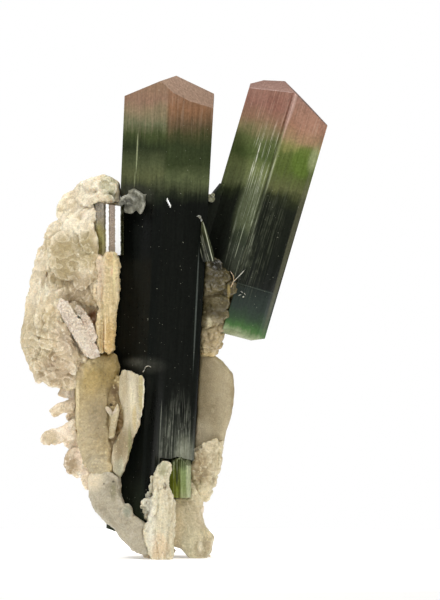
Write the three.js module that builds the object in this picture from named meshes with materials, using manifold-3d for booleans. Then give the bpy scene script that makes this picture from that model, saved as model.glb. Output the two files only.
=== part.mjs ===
// Tourmaline on cleavelandite: two zoned tourmaline prisms and three small ones, standing in a spray of
// platy albite.
// Millimetres, +Z up, +X to the right and -Y to the front, with the origin under the middle of the specimen.
import * as THREE from "three";
import { mergeVertices } from "three/addons/utils/BufferGeometryUtils.js";
import Module from "manifold-3d";

const wasm = await Module();
wasm.setup();

// Driving dimensions
const GAP = 0.3; // between crystals that touch
const MAIN_LENGTH = 92;
const MAIN_WIDTH = 17.8;
const MAIN_DEPTH = 15;
const MAIN_LEAN = THREE.MathUtils.degToRad(2.8);
const MAIN_FOOT = new THREE.Vector3(-5.3, 0, 5); // middle of its broken lower end
const MAIN_TAPER = 0.07; // narrower at the lower end by this share
const LEANING_LENGTH = 53;
const LEANING_WIDTH = 17.2;
const LEANING_DEPTH = 13.6;
const LEANING_LEAN = THREE.MathUtils.degToRad(16.4);
const LEANING_FOOT = new THREE.Vector3(14.2, 5.5, 43.6);
const CLEAR_LENGTH = 10.4;
const CLEAR_FOOT = new THREE.Vector3(-13, -4.2, 60.3);
const STUB_LENGTH = 7.6;
const STUB_FOOT = new THREE.Vector3(0.95, -4.2, 12.1);
const STRIA_PITCH = 0.85; // between the lengthwise grooves of a tourmaline face
const STRIA_DEPTH = 0.12;
const EDGE_STEP = 2.9; // between the points along the edge of a blade
const FINE_STEP = 1.6; // the same on the small blades in front
const FLOOR = 0; // the matrix is cut off flat here
const FINEST_FACE = 0.02; // edges and dents finer than this are dropped, on the tourmalines
const FINEST_BLADE = 0.06; // on the small blades
const FINEST_LUMP = 0.2; // on the rest of the matrix

// Small tools for numbers that look random but never change

function noiseAt(i, j, k) {
  const wave = Math.sin(i * 127.1 + j * 311.7 + k * 74.7) * 43758.5453;
  return wave - Math.floor(wave);
}

function smoothNoise(x, z, cell, seed) {
  const i = Math.floor(x / cell);
  const j = Math.floor(z / cell);
  const u = THREE.MathUtils.smoothstep(x / cell - i, 0, 1);
  const v = THREE.MathUtils.smoothstep(z / cell - j, 0, 1);
  const low = THREE.MathUtils.lerp(noiseAt(i, j, seed), noiseAt(i + 1, j, seed), u);
  const high = THREE.MathUtils.lerp(noiseAt(i, j + 1, seed), noiseAt(i + 1, j + 1, seed), u);
  return THREE.MathUtils.lerp(low, high, v) * 2 - 1;
}

// Solids

function solidOf(geometry) {
  const bare = geometry.clone();
  bare.deleteAttribute("normal");
  bare.deleteAttribute("uv");
  const merged = mergeVertices(bare, 1e-4);
  const mesh = new wasm.Mesh({
    numProp: 3,
    vertProperties: merged.attributes.position.array,
    triVerts: new Uint32Array(merged.index.array),
  });
  return new wasm.Manifold(mesh);
}

function geometryOf(solid) {
  const mesh = solid.getMesh();
  const geometry = new THREE.BufferGeometry();
  geometry.setAttribute("position", new THREE.BufferAttribute(mesh.vertProperties, 3));
  geometry.setIndex(new THREE.BufferAttribute(mesh.triVerts, 1));
  return geometry;
}

function joined(solids) {
  return solids.reduce((whole, next) => whole.add(next));
}

function largestBody(solid) {
  return solid.decompose().reduce((best, body) => (body.volume() > best.volume() ? body : best));
}

// Keeps what lies behind a flat face that passes through a point and faces outward.
function facet(solid, point, outward, grow) {
  const normal = new THREE.Vector3(...outward).normalize();
  const reach = normal.dot(new THREE.Vector3(...point)) + grow;
  return solid.trimByPlane(normal.clone().negate().toArray(), -reach);
}

// Lengthwise grooves along the sides of a prism's cross-section, given by its corners.
function striated(corners, seed) {
  const points = [];
  corners.forEach(([x, y], side) => {
    const [nextX, nextY] = corners[(side + 1) % corners.length];
    const length = Math.hypot(nextX - x, nextY - y);
    const steps = Math.max(1, Math.round(length / STRIA_PITCH));
    const inward = [-(nextY - y) / length, (nextX - x) / length];
    points.push([x, y]);
    for (let step = 1; step < steps; step++) {
      const along = (step + 0.6 * (noiseAt(step, side, seed) - 0.5)) / steps;
      const groove = STRIA_DEPTH * noiseAt(side, step, seed + 5);
      points.push([
        x + (nextX - x) * along + inward[0] * groove,
        y + (nextY - y) * along + inward[1] * groove,
      ]);
    }
  });
  return points;
}

// A prism on a cross-section, from its foot upward, widened by grow on every side.
function prism(section, length, grow, taper = 0) {
  const middleX = section.reduce((sum, [x]) => sum + x, 0) / section.length;
  const middleY = section.reduce((sum, [, y]) => sum + y, 0) / section.length;
  const outline = section.map(([x, y]) => {
    const reach = Math.hypot(x - middleX, y - middleY);
    const wider = (reach + 1.15 * grow) / reach;
    return new THREE.Vector2(middleX + (x - middleX) * wider, middleY + (y - middleY) * wider);
  });
  const geometry = new THREE.ExtrudeGeometry(new THREE.Shape(outline), {
    depth: length + 2 * grow,
    bevelEnabled: false,
  });
  geometry.translate(0, 0, -grow);
  const place = geometry.attributes.position;
  for (let i = 0; i < place.count; i++) {
    const narrow = 1 - taper * (1 - place.getZ(i) / length);
    place.setXY(i, place.getX(i) * narrow, place.getY(i) * narrow);
  }
  return solidOf(geometry);
}

// A block with its outline in the X-Z plane, for cutting from front to back.
function wedge(outline, front, back) {
  const shape = new THREE.Shape(outline.map(([x, z]) => new THREE.Vector2(x, z)));
  const geometry = new THREE.ExtrudeGeometry(shape, { depth: back - front, bevelEnabled: false });
  geometry.rotateX(Math.PI / 2);
  geometry.translate(0, back, 0);
  return solidOf(geometry);
}

function stood(solid, foot, lean) {
  return solid.rotate([0, THREE.MathUtils.radToDeg(lean), 0]).translate(foot.toArray());
}

// Cross-sections from front to back of a plate: how far out from its spine, and how far to the front or back.
const BLUNT = [[0, -1], [0.85, -0.9], [1, -0.35], [1, 0.35], [0.85, 0.9], [0, 1]];
const LENS = [[0, -1], [0.55, -0.9], [0.88, -0.55], [1, 0], [0.8, 0.7], [0, 1]];
const SHARP = [[0, -1], [0.7, -0.8], [1, 0], [0.7, 0.8], [0, 1]];
const THIN = [[0, -1], [0.86, -0.9], [1, 0], [0.86, 0.9], [0, 1]];
const SPLINTER = [[0, -1], [1, 0], [0, 1]];
const ROOTED = [[0, -1], [0.85, -0.9], [1, -0.25], [0, 1]]; // its back is grown into the blade behind
const ROOTED_BACK = [[0, -1], [1, 0.25], [0.85, 0.9], [0, 1]];

const SMALL_BLADE = { profile: THIN, step: FINE_STEP };

function nearestOnSpine(spine, point) {
  let best = null;
  for (let i = 0; i + 1 < spine.length; i++) {
    const line = new THREE.Line3(spine[i], spine[i + 1]);
    const candidate = line.closestPointToPoint(point, true, new THREE.Vector3());
    if (!best || candidate.distanceTo(point) < best.distanceTo(point)) best = candidate;
  }
  return best;
}

// A blade or lump of albite. Its outline runs clockwise as seen from the front, in X and Z; y is where its
// middle plane lies, slope tilts that plane to the back along X and Z, and half is half its thickness.
// jag roughens its edge and rough its faces.
function blade(form, grow) {
  const { outline, y, half, slope = [0, 0], profile = BLUNT, jag = 0.25, rough = 0.2 } = form;
  const seed = form.seed ?? outline.length + outline[0][0];
  const corners = outline.map(([x, z]) => new THREE.Vector3(x, 0, z));
  const centre = corners.reduce((sum, c) => sum.add(c), new THREE.Vector3()).divideScalar(corners.length);
  const spine = (form.spine ?? [[centre.x - 0.1, centre.z], [centre.x + 0.1, centre.z]])
    .map(([x, z]) => new THREE.Vector3(x, 0, z));
  const edge = new THREE.CatmullRomCurve3(corners, true, "catmullrom", form.smooth ?? 0.3);
  const middle = spine[Math.floor(spine.length / 2)].clone();
  middle.lerp(spine[Math.floor((spine.length - 1) / 2)], 0.5);
  const sides = Math.max(9, Math.round(edge.getLength() / (form.step ?? EDGE_STEP)));
  const rim = [];
  for (let i = 0; i < sides; i++) {
    const point = edge.getPointAt(i / sides);
    const root = nearestOnSpine(spine, point);
    const out = point.clone().sub(root).normalize();
    rim.push({ root, point: point.addScaledVector(out, grow + jag * (noiseAt(i, seed, 3) - 0.5)) });
  }
  const rings = profile.map(([s, h]) => new THREE.Vector2(s, h));
  const geometry = new THREE.LatheGeometry(rings, sides);
  const place = geometry.attributes.position;
  for (let i = 0; i < place.count; i++) {
    const column = Math.floor(i / rings.length) % sides;
    const [s, h] = profile[i % rings.length];
    const { root, point } = rim[column];
    const spot = s === 0 ? middle : root.clone().lerp(point, s);
    const bump = rough * Math.abs(h) * smoothNoise(spot.x, spot.z, 2.2, seed + (h > 0 ? 9 : 0));
    const plane = y + slope[0] * (spot.x - centre.x) + slope[1] * (spot.z - centre.z);
    place.setXYZ(i, spot.x, plane + h * (half + grow) + Math.sign(h) * bump, spot.z);
  }
  return solidOf(geometry);
}

function blades(forms, grow) {
  return joined(forms.map((form) => blade(form, grow)));
}

// The tall prism: a rounded triangle in section, three end faces at the top, broken at the bottom
function mainTourmaline(grow) {
  const right = MAIN_WIDTH / 2;
  const front = -MAIN_DEPTH / 2;
  const section = striated(
    [
      [-right - 0.1, -1.5], [-1.9, 0.9 * front], [0.7, front], [4.2, -6.5], [right, -3.8],
      [right, 1.5], [5.5, 6], [-1, -front], [-6, 6], [-right - 0.1, 2.5],
    ],
    1,
  );
  let crystal = prism(section, MAIN_LENGTH, grow, MAIN_TAPER);
  const peak = [-1.9, -6.75, 89.9]; // where the ridge between the two front end faces begins
  crystal = facet(crystal, peak, [-0.447, 0, 1], grow);
  crystal = facet(crystal, peak, [0.655, -0.72, 1], grow);
  crystal = facet(crystal, [1.3, -1.8, 91.1], [0.24, 0.5, 1], grow);
  crystal = facet(crystal, [-8, 0, 0.6], [-0.25, 0.1, -1], grow);
  const side = 1.6 + grow;
  const top = 15.2 - grow;
  const notch = [
    [side, -9], [20, -9], [20, top], [8, top - 0.3], [5, top + 0.3], [3.6, top - 0.2], [side, top],
  ];
  return stood(crystal.subtract(wedge(notch, -20, 20)), MAIN_FOOT, MAIN_LEAN);
}

// Parallel prisms grown as one, ended by faces at both ends, the left one broken off short, with a lower
// side crystal in the gap next to the tall prism
function leaningTourmaline(grow) {
  const left = -13.6;
  const right = left + LEANING_WIDTH;
  const front = -7;
  const back = front + LEANING_DEPTH;
  const section = striated(
    [
      [left, -1], [-5.1, front + 0.35], [-4.7, front + 0.75], [-4.3, front], [2.1, -4.9],
      [right, -3.2], [right, 2.6], [-0.8, back], [-9.2, back], [left, 2.6],
    ],
    2,
  );
  let crystal = prism(section, LEANING_LENGTH, grow);
  crystal = facet(crystal, [-6.7, 7, 51.9], [0.569, -0.06, 1], grow);
  crystal = facet(crystal, [-4.5, -7, 49.8], [-0.356, -0.3, 1], grow);
  crystal = facet(crystal, [-9, 6, 50.4], [-0.05, 0.45, 1], grow);
  crystal = facet(crystal, [0.6, 0, -0.2], [-0.125, 0, -1], grow);
  crystal = facet(crystal, [0.6, 0, -0.2], [0.443, 0, -1], grow);
  crystal = facet(crystal, [0.6, -4, 0], [0, -0.45, -1], grow);
  const broken = [
    [-20, -5], [-4.4 - grow, -5], [-4.4 - grow, 10.2], [-6.2, 11.4 - grow], [-7.4, 11.5 - grow],
    [-8.6, 12.8 - grow], [-10.2, 13.2 - grow], [-12, 15 - grow], [-20, 16 - grow],
  ];
  let side = prism([[-17, -1], [-13, -2], [-12, 0], [-13, 3], [-17, 3]], 28.5, grow);
  side = facet(side, [-13.6, 0, 28.4], [-0.93, -0.1, 0.38], grow);
  return stood(crystal.add(side).subtract(wedge(broken, -20, 20)), LEANING_FOOT, LEANING_LEAN);
}

function clearTourmaline(grow) {
  const section = [
    [-2.9, 1.2], [-2.8, -0.4], [-0.8, -1.5], [0.1, -2], [1.2, -2.1], [2.3, -1.5], [2.9, -0.3],
    [2.4, 1.6], [0, 2.4], [-2.4, 2.1],
  ];
  let crystal = prism(section, CLEAR_LENGTH, grow);
  crystal = facet(crystal, [0, 0, CLEAR_LENGTH - 0.2], [0.16, -0.1, 1], grow);
  return crystal.translate(CLEAR_FOOT.toArray());
}

function greenTourmaline(grow) {
  const section = [
    [-2.2, 0.4], [-2, -2], [-0.6, -2.8], [-0.2, -2.5], [0.2, -2.9], [1.6, -2.5], [2.3, -1],
    [2.2, 1.6], [0, 2.6], [-1.8, 2.2],
  ];
  let crystal = prism(section, STUB_LENGTH, grow);
  crystal = facet(crystal, [0, 0, STUB_LENGTH - 0.3], [-0.3, -0.2, 1], grow);
  crystal = facet(crystal, [0, 0, STUB_LENGTH - 0.1], [0.35, -0.2, 1], grow);
  return crystal.translate(STUB_FOOT.toArray());
}

function sliverTourmaline(grow) {
  const outline = [
    [5.2, 68], [6, 66.4], [6.8, 63.8], [7.6, 61.4], [8.3, 59.2], [7, 58.8], [5, 59], [4.8, 63],
  ];
  const spine = [[5.5, 66.6], [6.9, 59.8]];
  const form = { outline, spine, y: -4.4, half: 1.5, profile: SPLINTER, jag: 0, rough: 0 };
  return blade({ ...form, smooth: 0.02 }, grow);
}

function albiteCrystal(grow) {
  const outline = [
    [-9.2, 73.2], [-8, 73.6], [-7, 73.2], [-5.6, 72.6], [-5.4, 70.8], [-5.8, 69.2], [-7, 68.6],
    [-8.6, 68.8], [-10, 69], [-11.4, 70], [-11.8, 71], [-10.6, 71.8], [-9.6, 72],
  ];
  const spine = [[-9.8, 70.8], [-7.2, 71.2]];
  return blade({ outline, spine, y: -5.1, half: 1.3, slope: [-0.7, 0], profile: LENS, rough: 0.3 }, grow);
}

function innerBlade(grow) {
  const outline = [
    [-11.3, 30.8], [-10.7, 30.2], [-11.2, 28.6], [-11.6, 26.8], [-12.3, 23.4], [-12.9, 24.2],
    [-12.6, 27.6],
  ];
  const spine = [[-11.4, 29.6], [-12.3, 24.8]];
  return blade({ outline, spine, y: -7, half: 1, profile: SHARP, jag: 0.1, rough: 0.1 }, grow);
}

function palePlate(grow) {
  const outline = [
    [-10.4, 37.4], [-9.4, 37.1], [-8.6, 37.3], [-7.6, 36.5], [-6.8, 36.4], [-6, 35.3], [-6.2, 32.2],
    [-6.8, 28.6], [-7.2, 25.8], [-8.2, 24.6], [-8.8, 22.4], [-9.4, 20.2], [-10.8, 16], [-12.2, 17.4],
    [-12.4, 21], [-11.4, 23.8], [-10, 26.2], [-10, 29.4], [-10.8, 31.6], [-10.8, 35.4],
  ];
  const spine = [[-8.6, 35], [-8.2, 29.4], [-10.8, 19.4]];
  const form = { outline, spine, y: -7.3, half: 0.95, slope: [-0.42, 0], smooth: 0.15 };
  return blade({ ...form, ...SMALL_BLADE }, grow);
}

function frontBlade(grow) {
  const outline = [
    [-2.2, 19.2], [-0.8, 19], [-1.1, 17.4], [-1.3, 15.8], [-0.8, 13.8], [-0.4, 12], [-0.1, 9], [-0.1, 5.4],
    [-0.4, 2.2], [-0.8, -0.6], [-3.8, -0.8], [-5.1, 0.8], [-6.2, 3.8], [-6.4, 5.4], [-5.1, 8.1],
    [-4.5, 11.2], [-3.9, 14.2], [-3.9, 16.6], [-3.4, 18],
  ];
  const main = { outline, spine: [[-2.2, 17.8], [-2.5, 14.6], [-2.6, 9.4], [-3, 1.8]], y: -9.3, half: 1.8 };
  const tuft = [[-6.4, 11.4], [-5.4, 12.2], [-4.2, 11.4], [-4.4, 9.6], [-5.8, 10.2]];
  const rib = [
    [-2.4, 16], [-1.6, 14], [-1.4, 9], [-1.6, 3], [-2.6, -0.6], [-3.4, 3], [-3.2, 9], [-3, 13],
  ];
  return blades(
    [
      { ...main, ...SMALL_BLADE, jag: 0.5, rough: 0.5, smooth: 0.2 },
      { outline: tuft, y: -8.6, half: 0.8, rough: 0.3 },
      { outline: rib, spine: [[-2.3, 13], [-2.5, 2]], y: -10.6, half: 0.9, jag: 0.4, profile: ROOTED },
    ],
    grow,
  );
}

function broadPlate(grow) {
  const outline = [
    [-17.5, 39.8], [-15.6, 40.4], [-13.8, 41], [-12, 40.6], [-11.1, 39.8], [-11, 38], [-11.7, 35.6],
    [-13.2, 32.4], [-13.4, 30.2], [-13, 27.8], [-12.8, 24], [-12.2, 20.4], [-11, 17], [-12.8, 15.2],
    [-15.2, 15.8], [-17, 17.4], [-18.2, 20.4], [-19.2, 23.4], [-19.4, 27.4], [-19.6, 31.4],
    [-19.8, 34.4], [-19.8, 36.8], [-18.8, 38.8],
  ];
  const spine = [[-15.2, 37.4], [-16.2, 31.4], [-15.6, 23.4], [-13.8, 18.2]];
  const pocket = [
    [-12.6, 36], [-10.6, 35.8], [-10.4, 31], [-9.8, 27], [-10.8, 23], [-11.4, 18], [-13, 18],
    [-13.8, 24], [-14, 30], [-13.4, 34],
  ];
  const rim = [
    [-19, 37.4], [-18.2, 36], [-18.6, 28], [-18, 22], [-17.8, 18], [-18.6, 21], [-19.4, 25],
    [-19.7, 31],
  ];
  const rooted = { profile: ROOTED, jag: 0.4 };
  return blades(
    [
      { outline, spine, y: -3.7, half: 1.7, slope: [-0.3, 0], rough: 0.3 },
      { ...rooted, outline: pocket, spine: [[-11.8, 33], [-12, 21]], y: -5, half: 0.9, slope: [-0.5, 0] },
      { ...rooted, outline: rim, spine: [[-18.9, 34], [-18.5, 22]], y: -3, half: 2.1, slope: [-0.3, 0] },
    ],
    grow,
  );
}

function fingerBlades(grow) {
  const long = [
    [-22.8, 51.6], [-21.4, 51], [-19.4, 48.4], [-17.4, 45.6], [-15.6, 42.8], [-14.6, 40.8], [-15.4, 39.6],
    [-17.2, 40], [-18.8, 42.2], [-20.4, 44.8], [-21.8, 47.2], [-23.2, 49.6],
  ];
  const short = [
    [-19.4, 50.4], [-18.2, 49.8], [-17, 48.2], [-16, 45.8], [-15.2, 43.4], [-16.6, 43], [-17.8, 45],
    [-19, 47.4], [-20, 49.2],
  ];
  return blades(
    [
      { ...SMALL_BLADE, outline: long, spine: [[-22.2, 50.2], [-19.2, 45.6], [-16.2, 41.2]], y: -6.2, half: 1.5 },
      { ...SMALL_BLADE, outline: short, spine: [[-18.8, 49], [-16.4, 44.6]], y: -5.9, half: 1.3, slope: [0, 0.1] },
    ],
    grow,
  );
}

function uprightBlade(grow) {
  const left = [
    [-15, 60.2], [-14, 59.8], [-13.8, 51.4], [-13.8, 46], [-14, 41.2], [-15.2, 41.2], [-15.4, 44.4],
    [-15.5, 47.4], [-14.7, 49.8], [-15.4, 51.4], [-15.4, 53.4], [-15, 56], [-15.6, 59],
  ];
  const right = [
    [-13.8, 60.8], [-12.2, 60.8], [-11.3, 59.2], [-11.2, 55.4], [-11.2, 51.8], [-11.8, 48.8], [-12, 45],
    [-12.4, 41], [-13.8, 40.8], [-14, 46], [-14.2, 52], [-14.2, 57.4],
  ];
  return blades(
    [
      { outline: left, spine: [[-14.7, 58.4], [-14.6, 52], [-14.6, 43]], y: -4.6, half: 2.7, ...SMALL_BLADE },
      { outline: right, spine: [[-12.7, 59], [-12.7, 52], [-13, 43]], y: -5.3, half: 3.2, ...SMALL_BLADE },
    ],
    grow,
  );
}

function lowerPlate(grow) {
  const outline = [
    [-16.2, 18.4], [-13.6, 17.8], [-11, 16], [-11, 12], [-10, 10.8], [-8.4, 9], [-7.4, 7.2], [-5.6, 6.8],
    [-4, 5.4], [-4.2, 0.8], [-5.6, 1], [-7.8, 1.9], [-9.2, 2.6], [-10.6, 4.2], [-11.4, 5.7], [-13.6, 7.3],
    [-15.6, 9.2], [-16.6, 11.2], [-17, 13.6], [-17.1, 16.6],
  ];
  const spine = [[-14.2, 16.2], [-14, 12.2], [-11.4, 8.8], [-8.4, 5], [-5.6, 3.4]];
  const pebble = [
    [-10.4, 10.8], [-9.4, 10.9], [-8.4, 10], [-8.2, 8.2], [-9.2, 7.4], [-10.4, 8.2], [-10.9, 9.6],
  ];
  return blades(
    [
      { outline, spine, y: -6, half: 2, slope: [-0.5, 0], jag: 0.3, rough: 0.35 },
      { outline: pebble, y: -7.6, half: 1, profile: LENS, rough: 0.2 },
    ],
    grow,
  );
}

// Overlapping plates on the face of the rosette, from its crest to its lowest edge
const ROSETTE_PLATES = [
  {
    outline: [
      [-16, 75.8], [-14.6, 74.6], [-15, 71.8], [-17.2, 69.6], [-19.4, 67.4], [-21.6, 67],
      [-21.6, 70.2], [-20.4, 72.8], [-18.6, 74.8],
    ],
    y: -2.6, half: 1.3, slope: [-0.3, 0],
  },
  {
    outline: [
      [-14.6, 74.2], [-13.2, 71.4], [-14, 68.6], [-15.4, 66.6], [-18, 67], [-19.6, 67.6],
      [-17.6, 69.8], [-15.4, 71.8],
    ],
    y: -3.8, half: 1, slope: [-0.2, 0.1],
  },
  {
    outline: [
      [-22.4, 67], [-19.2, 67.8], [-16.4, 66.6], [-15.2, 63], [-15.2, 57.8], [-15.4, 53], [-15.8, 49],
      [-17.6, 50.4], [-20, 52], [-22.2, 53.2], [-23.8, 55], [-24.6, 57.8], [-24.2, 61.8],
    ],
    y: -4.3, half: 1.3, slope: [-0.16, 0],
  },
  {
    outline: [[-16.4, 66.2], [-15.2, 63.4], [-15.2, 57.4], [-15.4, 51.4], [-16.4, 52.2], [-17.2, 56.2],
      [-17.6, 61.4], [-17.4, 64.6]],
    spine: [[-16.4, 64], [-16.2, 55]], y: -5.3, half: 1, slope: [-0.1, 0],
  },
  {
    outline: [
      [-25.6, 64.4], [-23.8, 66], [-23.4, 63.4], [-24.2, 60.2], [-24.8, 57], [-26, 53.8],
      [-27.4, 51.8], [-28.2, 54.6], [-26.6, 58.4], [-26.2, 61.4],
    ],
    spine: [[-24.8, 63.6], [-26.6, 54.4]], y: -1.4, half: 1.8, slope: [-0.2, 0],
  },
  {
    outline: [
      [-28, 55], [-26, 54.6], [-25.6, 51.8], [-26.4, 48.6], [-27.2, 45.4], [-28.6, 42.6],
      [-30.4, 43.8], [-29.8, 47.8], [-29, 51.8],
    ],
    spine: [[-27, 53], [-28.8, 45]], y: -0.8, half: 1.8, slope: [-0.2, 0],
  },
  {
    outline: [
      [-25.6, 51.4], [-23.2, 50.2], [-21.6, 47], [-20, 43.4], [-18.8, 39.8], [-20, 37], [-22.8, 37],
      [-25.6, 39], [-26.8, 42.4], [-26.8, 46.4], [-26.4, 49.8],
    ],
    y: -3.7, half: 1.4, slope: [-0.18, 0.06],
  },
  {
    outline: [[-26.8, 42.4], [-24.4, 41.4], [-21.6, 40.2], [-20.4, 37.8], [-21.2, 35.4], [-23.6, 33.8],
      [-25.6, 34.8], [-28.2, 36.4], [-29.2, 39], [-28.8, 41.4]],
    y: -2.6, half: 1.6, slope: [-0.2, -0.08],
  },
  {
    outline: [
      [-19.6, 41], [-17.2, 40.2], [-18, 37.8], [-19.2, 35], [-20, 33.2], [-22.8, 33.4], [-22.4, 35.8],
      [-21.2, 38.6],
    ],
    y: -3.4, half: 1.2, slope: [-0.1, -0.1],
  },
];

const ROSETTE_BACK_PLATES = [
  { outline: [[-22, 72], [-16, 74], [-12.6, 68], [-13, 60], [-19, 58], [-24, 63]], y: 4, half: 1.6 },
  { outline: [[-26, 60], [-18, 62], [-16, 50], [-20, 44], [-26, 44], [-29, 50]], y: 3.8, half: 1.8 },
];

// Stained hollows between the plates, each at a point with a width and a height
const ROSETTE_POCKETS = [
  { x: -20.9, z: 51.2, width: 2, height: 1.2 },
  { x: -16.6, z: 47.8, width: 1.6, height: 3.2 },
  { x: -22.2, z: 47.4, width: 1.6, height: 1.4 },
];

function leftRosette(grow) {
  const outline = [
    [-14, 76.2], [-11.6, 76], [-11, 70.4], [-11, 59.4], [-11.6, 47.4], [-13.2, 37], [-16.8, 33], [-20.4, 33.2],
    [-23.5, 33.4], [-25.2, 34.4], [-27.3, 35.6], [-28.9, 37], [-29.4, 40], [-30.5, 43.8], [-30, 47],
    [-29.2, 51.4], [-28, 55.6], [-26.6, 58.4], [-26.2, 61.8], [-25.6, 64.4], [-23.8, 66.4], [-22.4, 67.2],
    [-21.6, 70.2], [-20.4, 72.6], [-18.8, 74.6], [-16.4, 75.4],
  ];
  const spine = [[-15.2, 71.4], [-17.8, 61.4], [-21.6, 49.4], [-23.2, 41.4]];
  const body = { outline, spine, y: 0.4, half: 4.8, profile: LENS, step: 4, jag: 0.5, rough: 0.5, smooth: 0.2 };
  const front = ROSETTE_PLATES.map((plate) => ({ ...plate, profile: ROOTED }));
  const back = ROSETTE_BACK_PLATES.map((plate) => ({ ...plate, profile: ROOTED_BACK, step: 4 }));
  const mass = blades([body, ...front, ...back], grow);
  if (grow > 0) return mass;
  const hollows = ROSETTE_POCKETS.map(({ x, z, width, height }) => {
    const hollow = new THREE.SphereGeometry(1, 8, 5);
    hollow.scale(width, 3, height);
    hollow.translate(x, -6.4, z);
    return solidOf(hollow);
  });
  return hollows.reduce((rest, hollow) => rest.subtract(hollow), mass);
}

function sideBlades(grow) {
  const root = [
    [-19.4, 34.6], [-16.4, 34.2], [-15.6, 28], [-15.6, 20], [-16.2, 14.6], [-17.6, 14.4], [-18.6, 18],
    [-19.4, 23], [-19.8, 30],
  ];
  return blades(
    [
      { outline: root, spine: [[-17.6, 32], [-17.4, 18]], y: 0, half: 2.2, rough: 0.5 },
      {
        outline: [
          [-22.8, 33.6], [-20.4, 34.2], [-18, 33.6], [-18, 31.4], [-21.2, 32], [-22.8, 31.6],
          [-23.6, 32.6],
        ],
        spine: [[-22.6, 32.6], [-19, 32.8]], y: -0.8, half: 0.8, slope: [-0.1, 0],
      },
      {
        outline: [
          [-23.4, 30.6], [-21.6, 31.6], [-18, 32], [-18, 29.2], [-21.4, 29], [-24, 27.9],
          [-24.8, 28.2], [-25.3, 29.2],
        ],
        spine: [[-24.2, 29], [-19, 30.8]], y: -1.4, half: 0.9, slope: [0.1, 0],
      },
      {
        outline: [[-21.2, 29.2], [-18.4, 29.6], [-17.6, 27.8], [-19.6, 27], [-21, 27], [-21.8, 28.2]],
        y: -0.2, half: 0.7,
      },
      {
        outline: [
          [-25.2, 25.3], [-22.1, 26.2], [-19.6, 28], [-17, 27.2], [-17, 24.2], [-21.6, 23.4],
          [-25.4, 22], [-26.4, 24],
        ],
        spine: [[-25, 23.8], [-18.4, 25.8]], y: -1.6, half: 1.3, slope: [-0.12, 0], smooth: 0.15,
      },
      { outline: [[-22.4, 23.4], [-20.6, 24.4], [-18.6, 22.8], [-20.4, 21.6], [-22, 22]], y: -0.6, half: 0.7 },
      {
        outline: [[-20.4, 22.2], [-17.8, 22], [-16.8, 20.2], [-17, 17.4], [-18.8, 15.8], [-20.8, 16.4],
          [-22.2, 18.2], [-22, 20.6]],
        y: -1, half: 1.3, slope: [-0.15, 0], profile: LENS,
      },
      {
        outline: [[-18.8, 17.4], [-17.2, 17.8], [-16, 15.8], [-16.4, 13.6], [-17.8, 13.4], [-18.6, 15.2]],
        y: -1.4, half: 1,
      },
    ],
    grow,
  );
}

function rightPlate(grow) {
  const outline = [
    [4.4, 41], [6.4, 41.2], [7.8, 39.8], [10, 38.6], [11.8, 35.4], [11.5, 31.2], [10.8, 27.4], [10.6, 26],
    [9.8, 25], [9.4, 22], [7.2, 21.6], [4.4, 20.6], [1.6, 21], [1.2, 27.4], [1.6, 35.4], [2.8, 39.8],
  ];
  const spine = [[6.2, 37], [6.6, 29.4], [5.8, 23.8]];
  const backing = [[4, 40], [9, 37.6], [10.8, 34], [10, 27], [8, 22.6], [2, 21], [1.4, 36]];
  return blades(
    [
      { outline, spine, y: 1.9, half: 1.5, slope: [0.08, 0], jag: 0.15, rough: 0.1 },
      { outline: backing, spine: [[6, 36], [5.6, 25]], y: 4.4, half: 2, rough: 0.4 },
    ],
    grow,
  );
}

function brownLump(grow) {
  const upper = [
    [5.8, 59.4], [7.6, 59], [9.6, 58.2], [11.6, 57.2], [12.6, 55.6], [12.2, 53.6], [10.8, 52.2], [8, 51.6],
    [5.2, 51.8], [3.6, 53.4], [3.2, 56.4], [4, 58.6],
  ];
  const nodule = [[10.4, 54.2], [11.8, 54], [12.2, 52.6], [11.2, 51.4], [9.6, 51.8], [9.4, 53.2]];
  const middle = [
    [6.2, 53.4], [9.4, 53.6], [11.8, 52.6], [11.8, 50.4], [11, 48.2], [10.4, 46], [9.8, 44.6], [7.6, 45.6],
    [4.8, 46.2], [3.2, 48.4], [3.6, 51.4],
  ];
  const lower = [
    [6.2, 47.8], [8.6, 47.4], [9.8, 45.4], [9.4, 43], [7.8, 41.2], [7.6, 39.6], [5.2, 39.2], [3.2, 41],
    [3.2, 45.4],
  ];
  const round = { profile: LENS, rough: 0.6, jag: 0.4, step: 3.2 };
  return blades(
    [
      { ...round, outline: upper, y: 1.6, half: 4, slope: [0.2, 0], rough: 0.8 },
      { ...round, outline: nodule, y: 0.4, half: 1.8 },
      { ...round, outline: middle, y: 1.8, half: 3.6, slope: [0.1, 0] },
      { ...round, outline: lower, y: 2, half: 3 },
    ],
    grow,
  );
}

function rightFoot(grow) {
  const top = [
    [7, 22.8], [9.6, 23.6], [9.4, 21], [9, 18.8], [8.4, 16.6], [7.3, 14.2], [7.4, 12.8], [6.2, 11],
    [3.6, 10.6], [1.2, 11.4], [0.8, 15.4], [2, 19], [3.8, 21.4],
  ];
  const pillar = [
    [1.2, 13.8], [4, 14.2], [5.4, 11.8], [5.2, 10], [5, 8.6], [5.2, 7.4], [6.3, 5.8], [8, 3.6], [7.6, 2.6],
    [6.9, 0.9], [6.2, -0.6], [3.6, -0.6], [3.2, 0.2], [2.4, 1.5], [0.8, 2.1], [-0.3, 1.9], [-1.2, 3.4],
    [-0.4, 7.4], [-0.2, 11.4],
  ];
  const ledge = [[6, 22.6], [9.2, 24], [8, 20], [5.4, 17], [3.4, 14.6], [2.6, 17], [3.4, 20.6]];
  return blades(
    [
      { outline: top, y: 1.2, half: 3.4, profile: LENS, rough: 0.9, jag: 0.5 },
      { outline: pillar, spine: [[2.6, 11.4], [2.6, 6.4], [5, 2.4]], y: -0.6, half: 3, rough: 0.2 },
      { outline: ledge, y: -1.6, half: 1.2, slope: [0.1, 0.12], rough: 0.7, jag: 0.5 },
    ],
    grow,
  );
}

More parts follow.
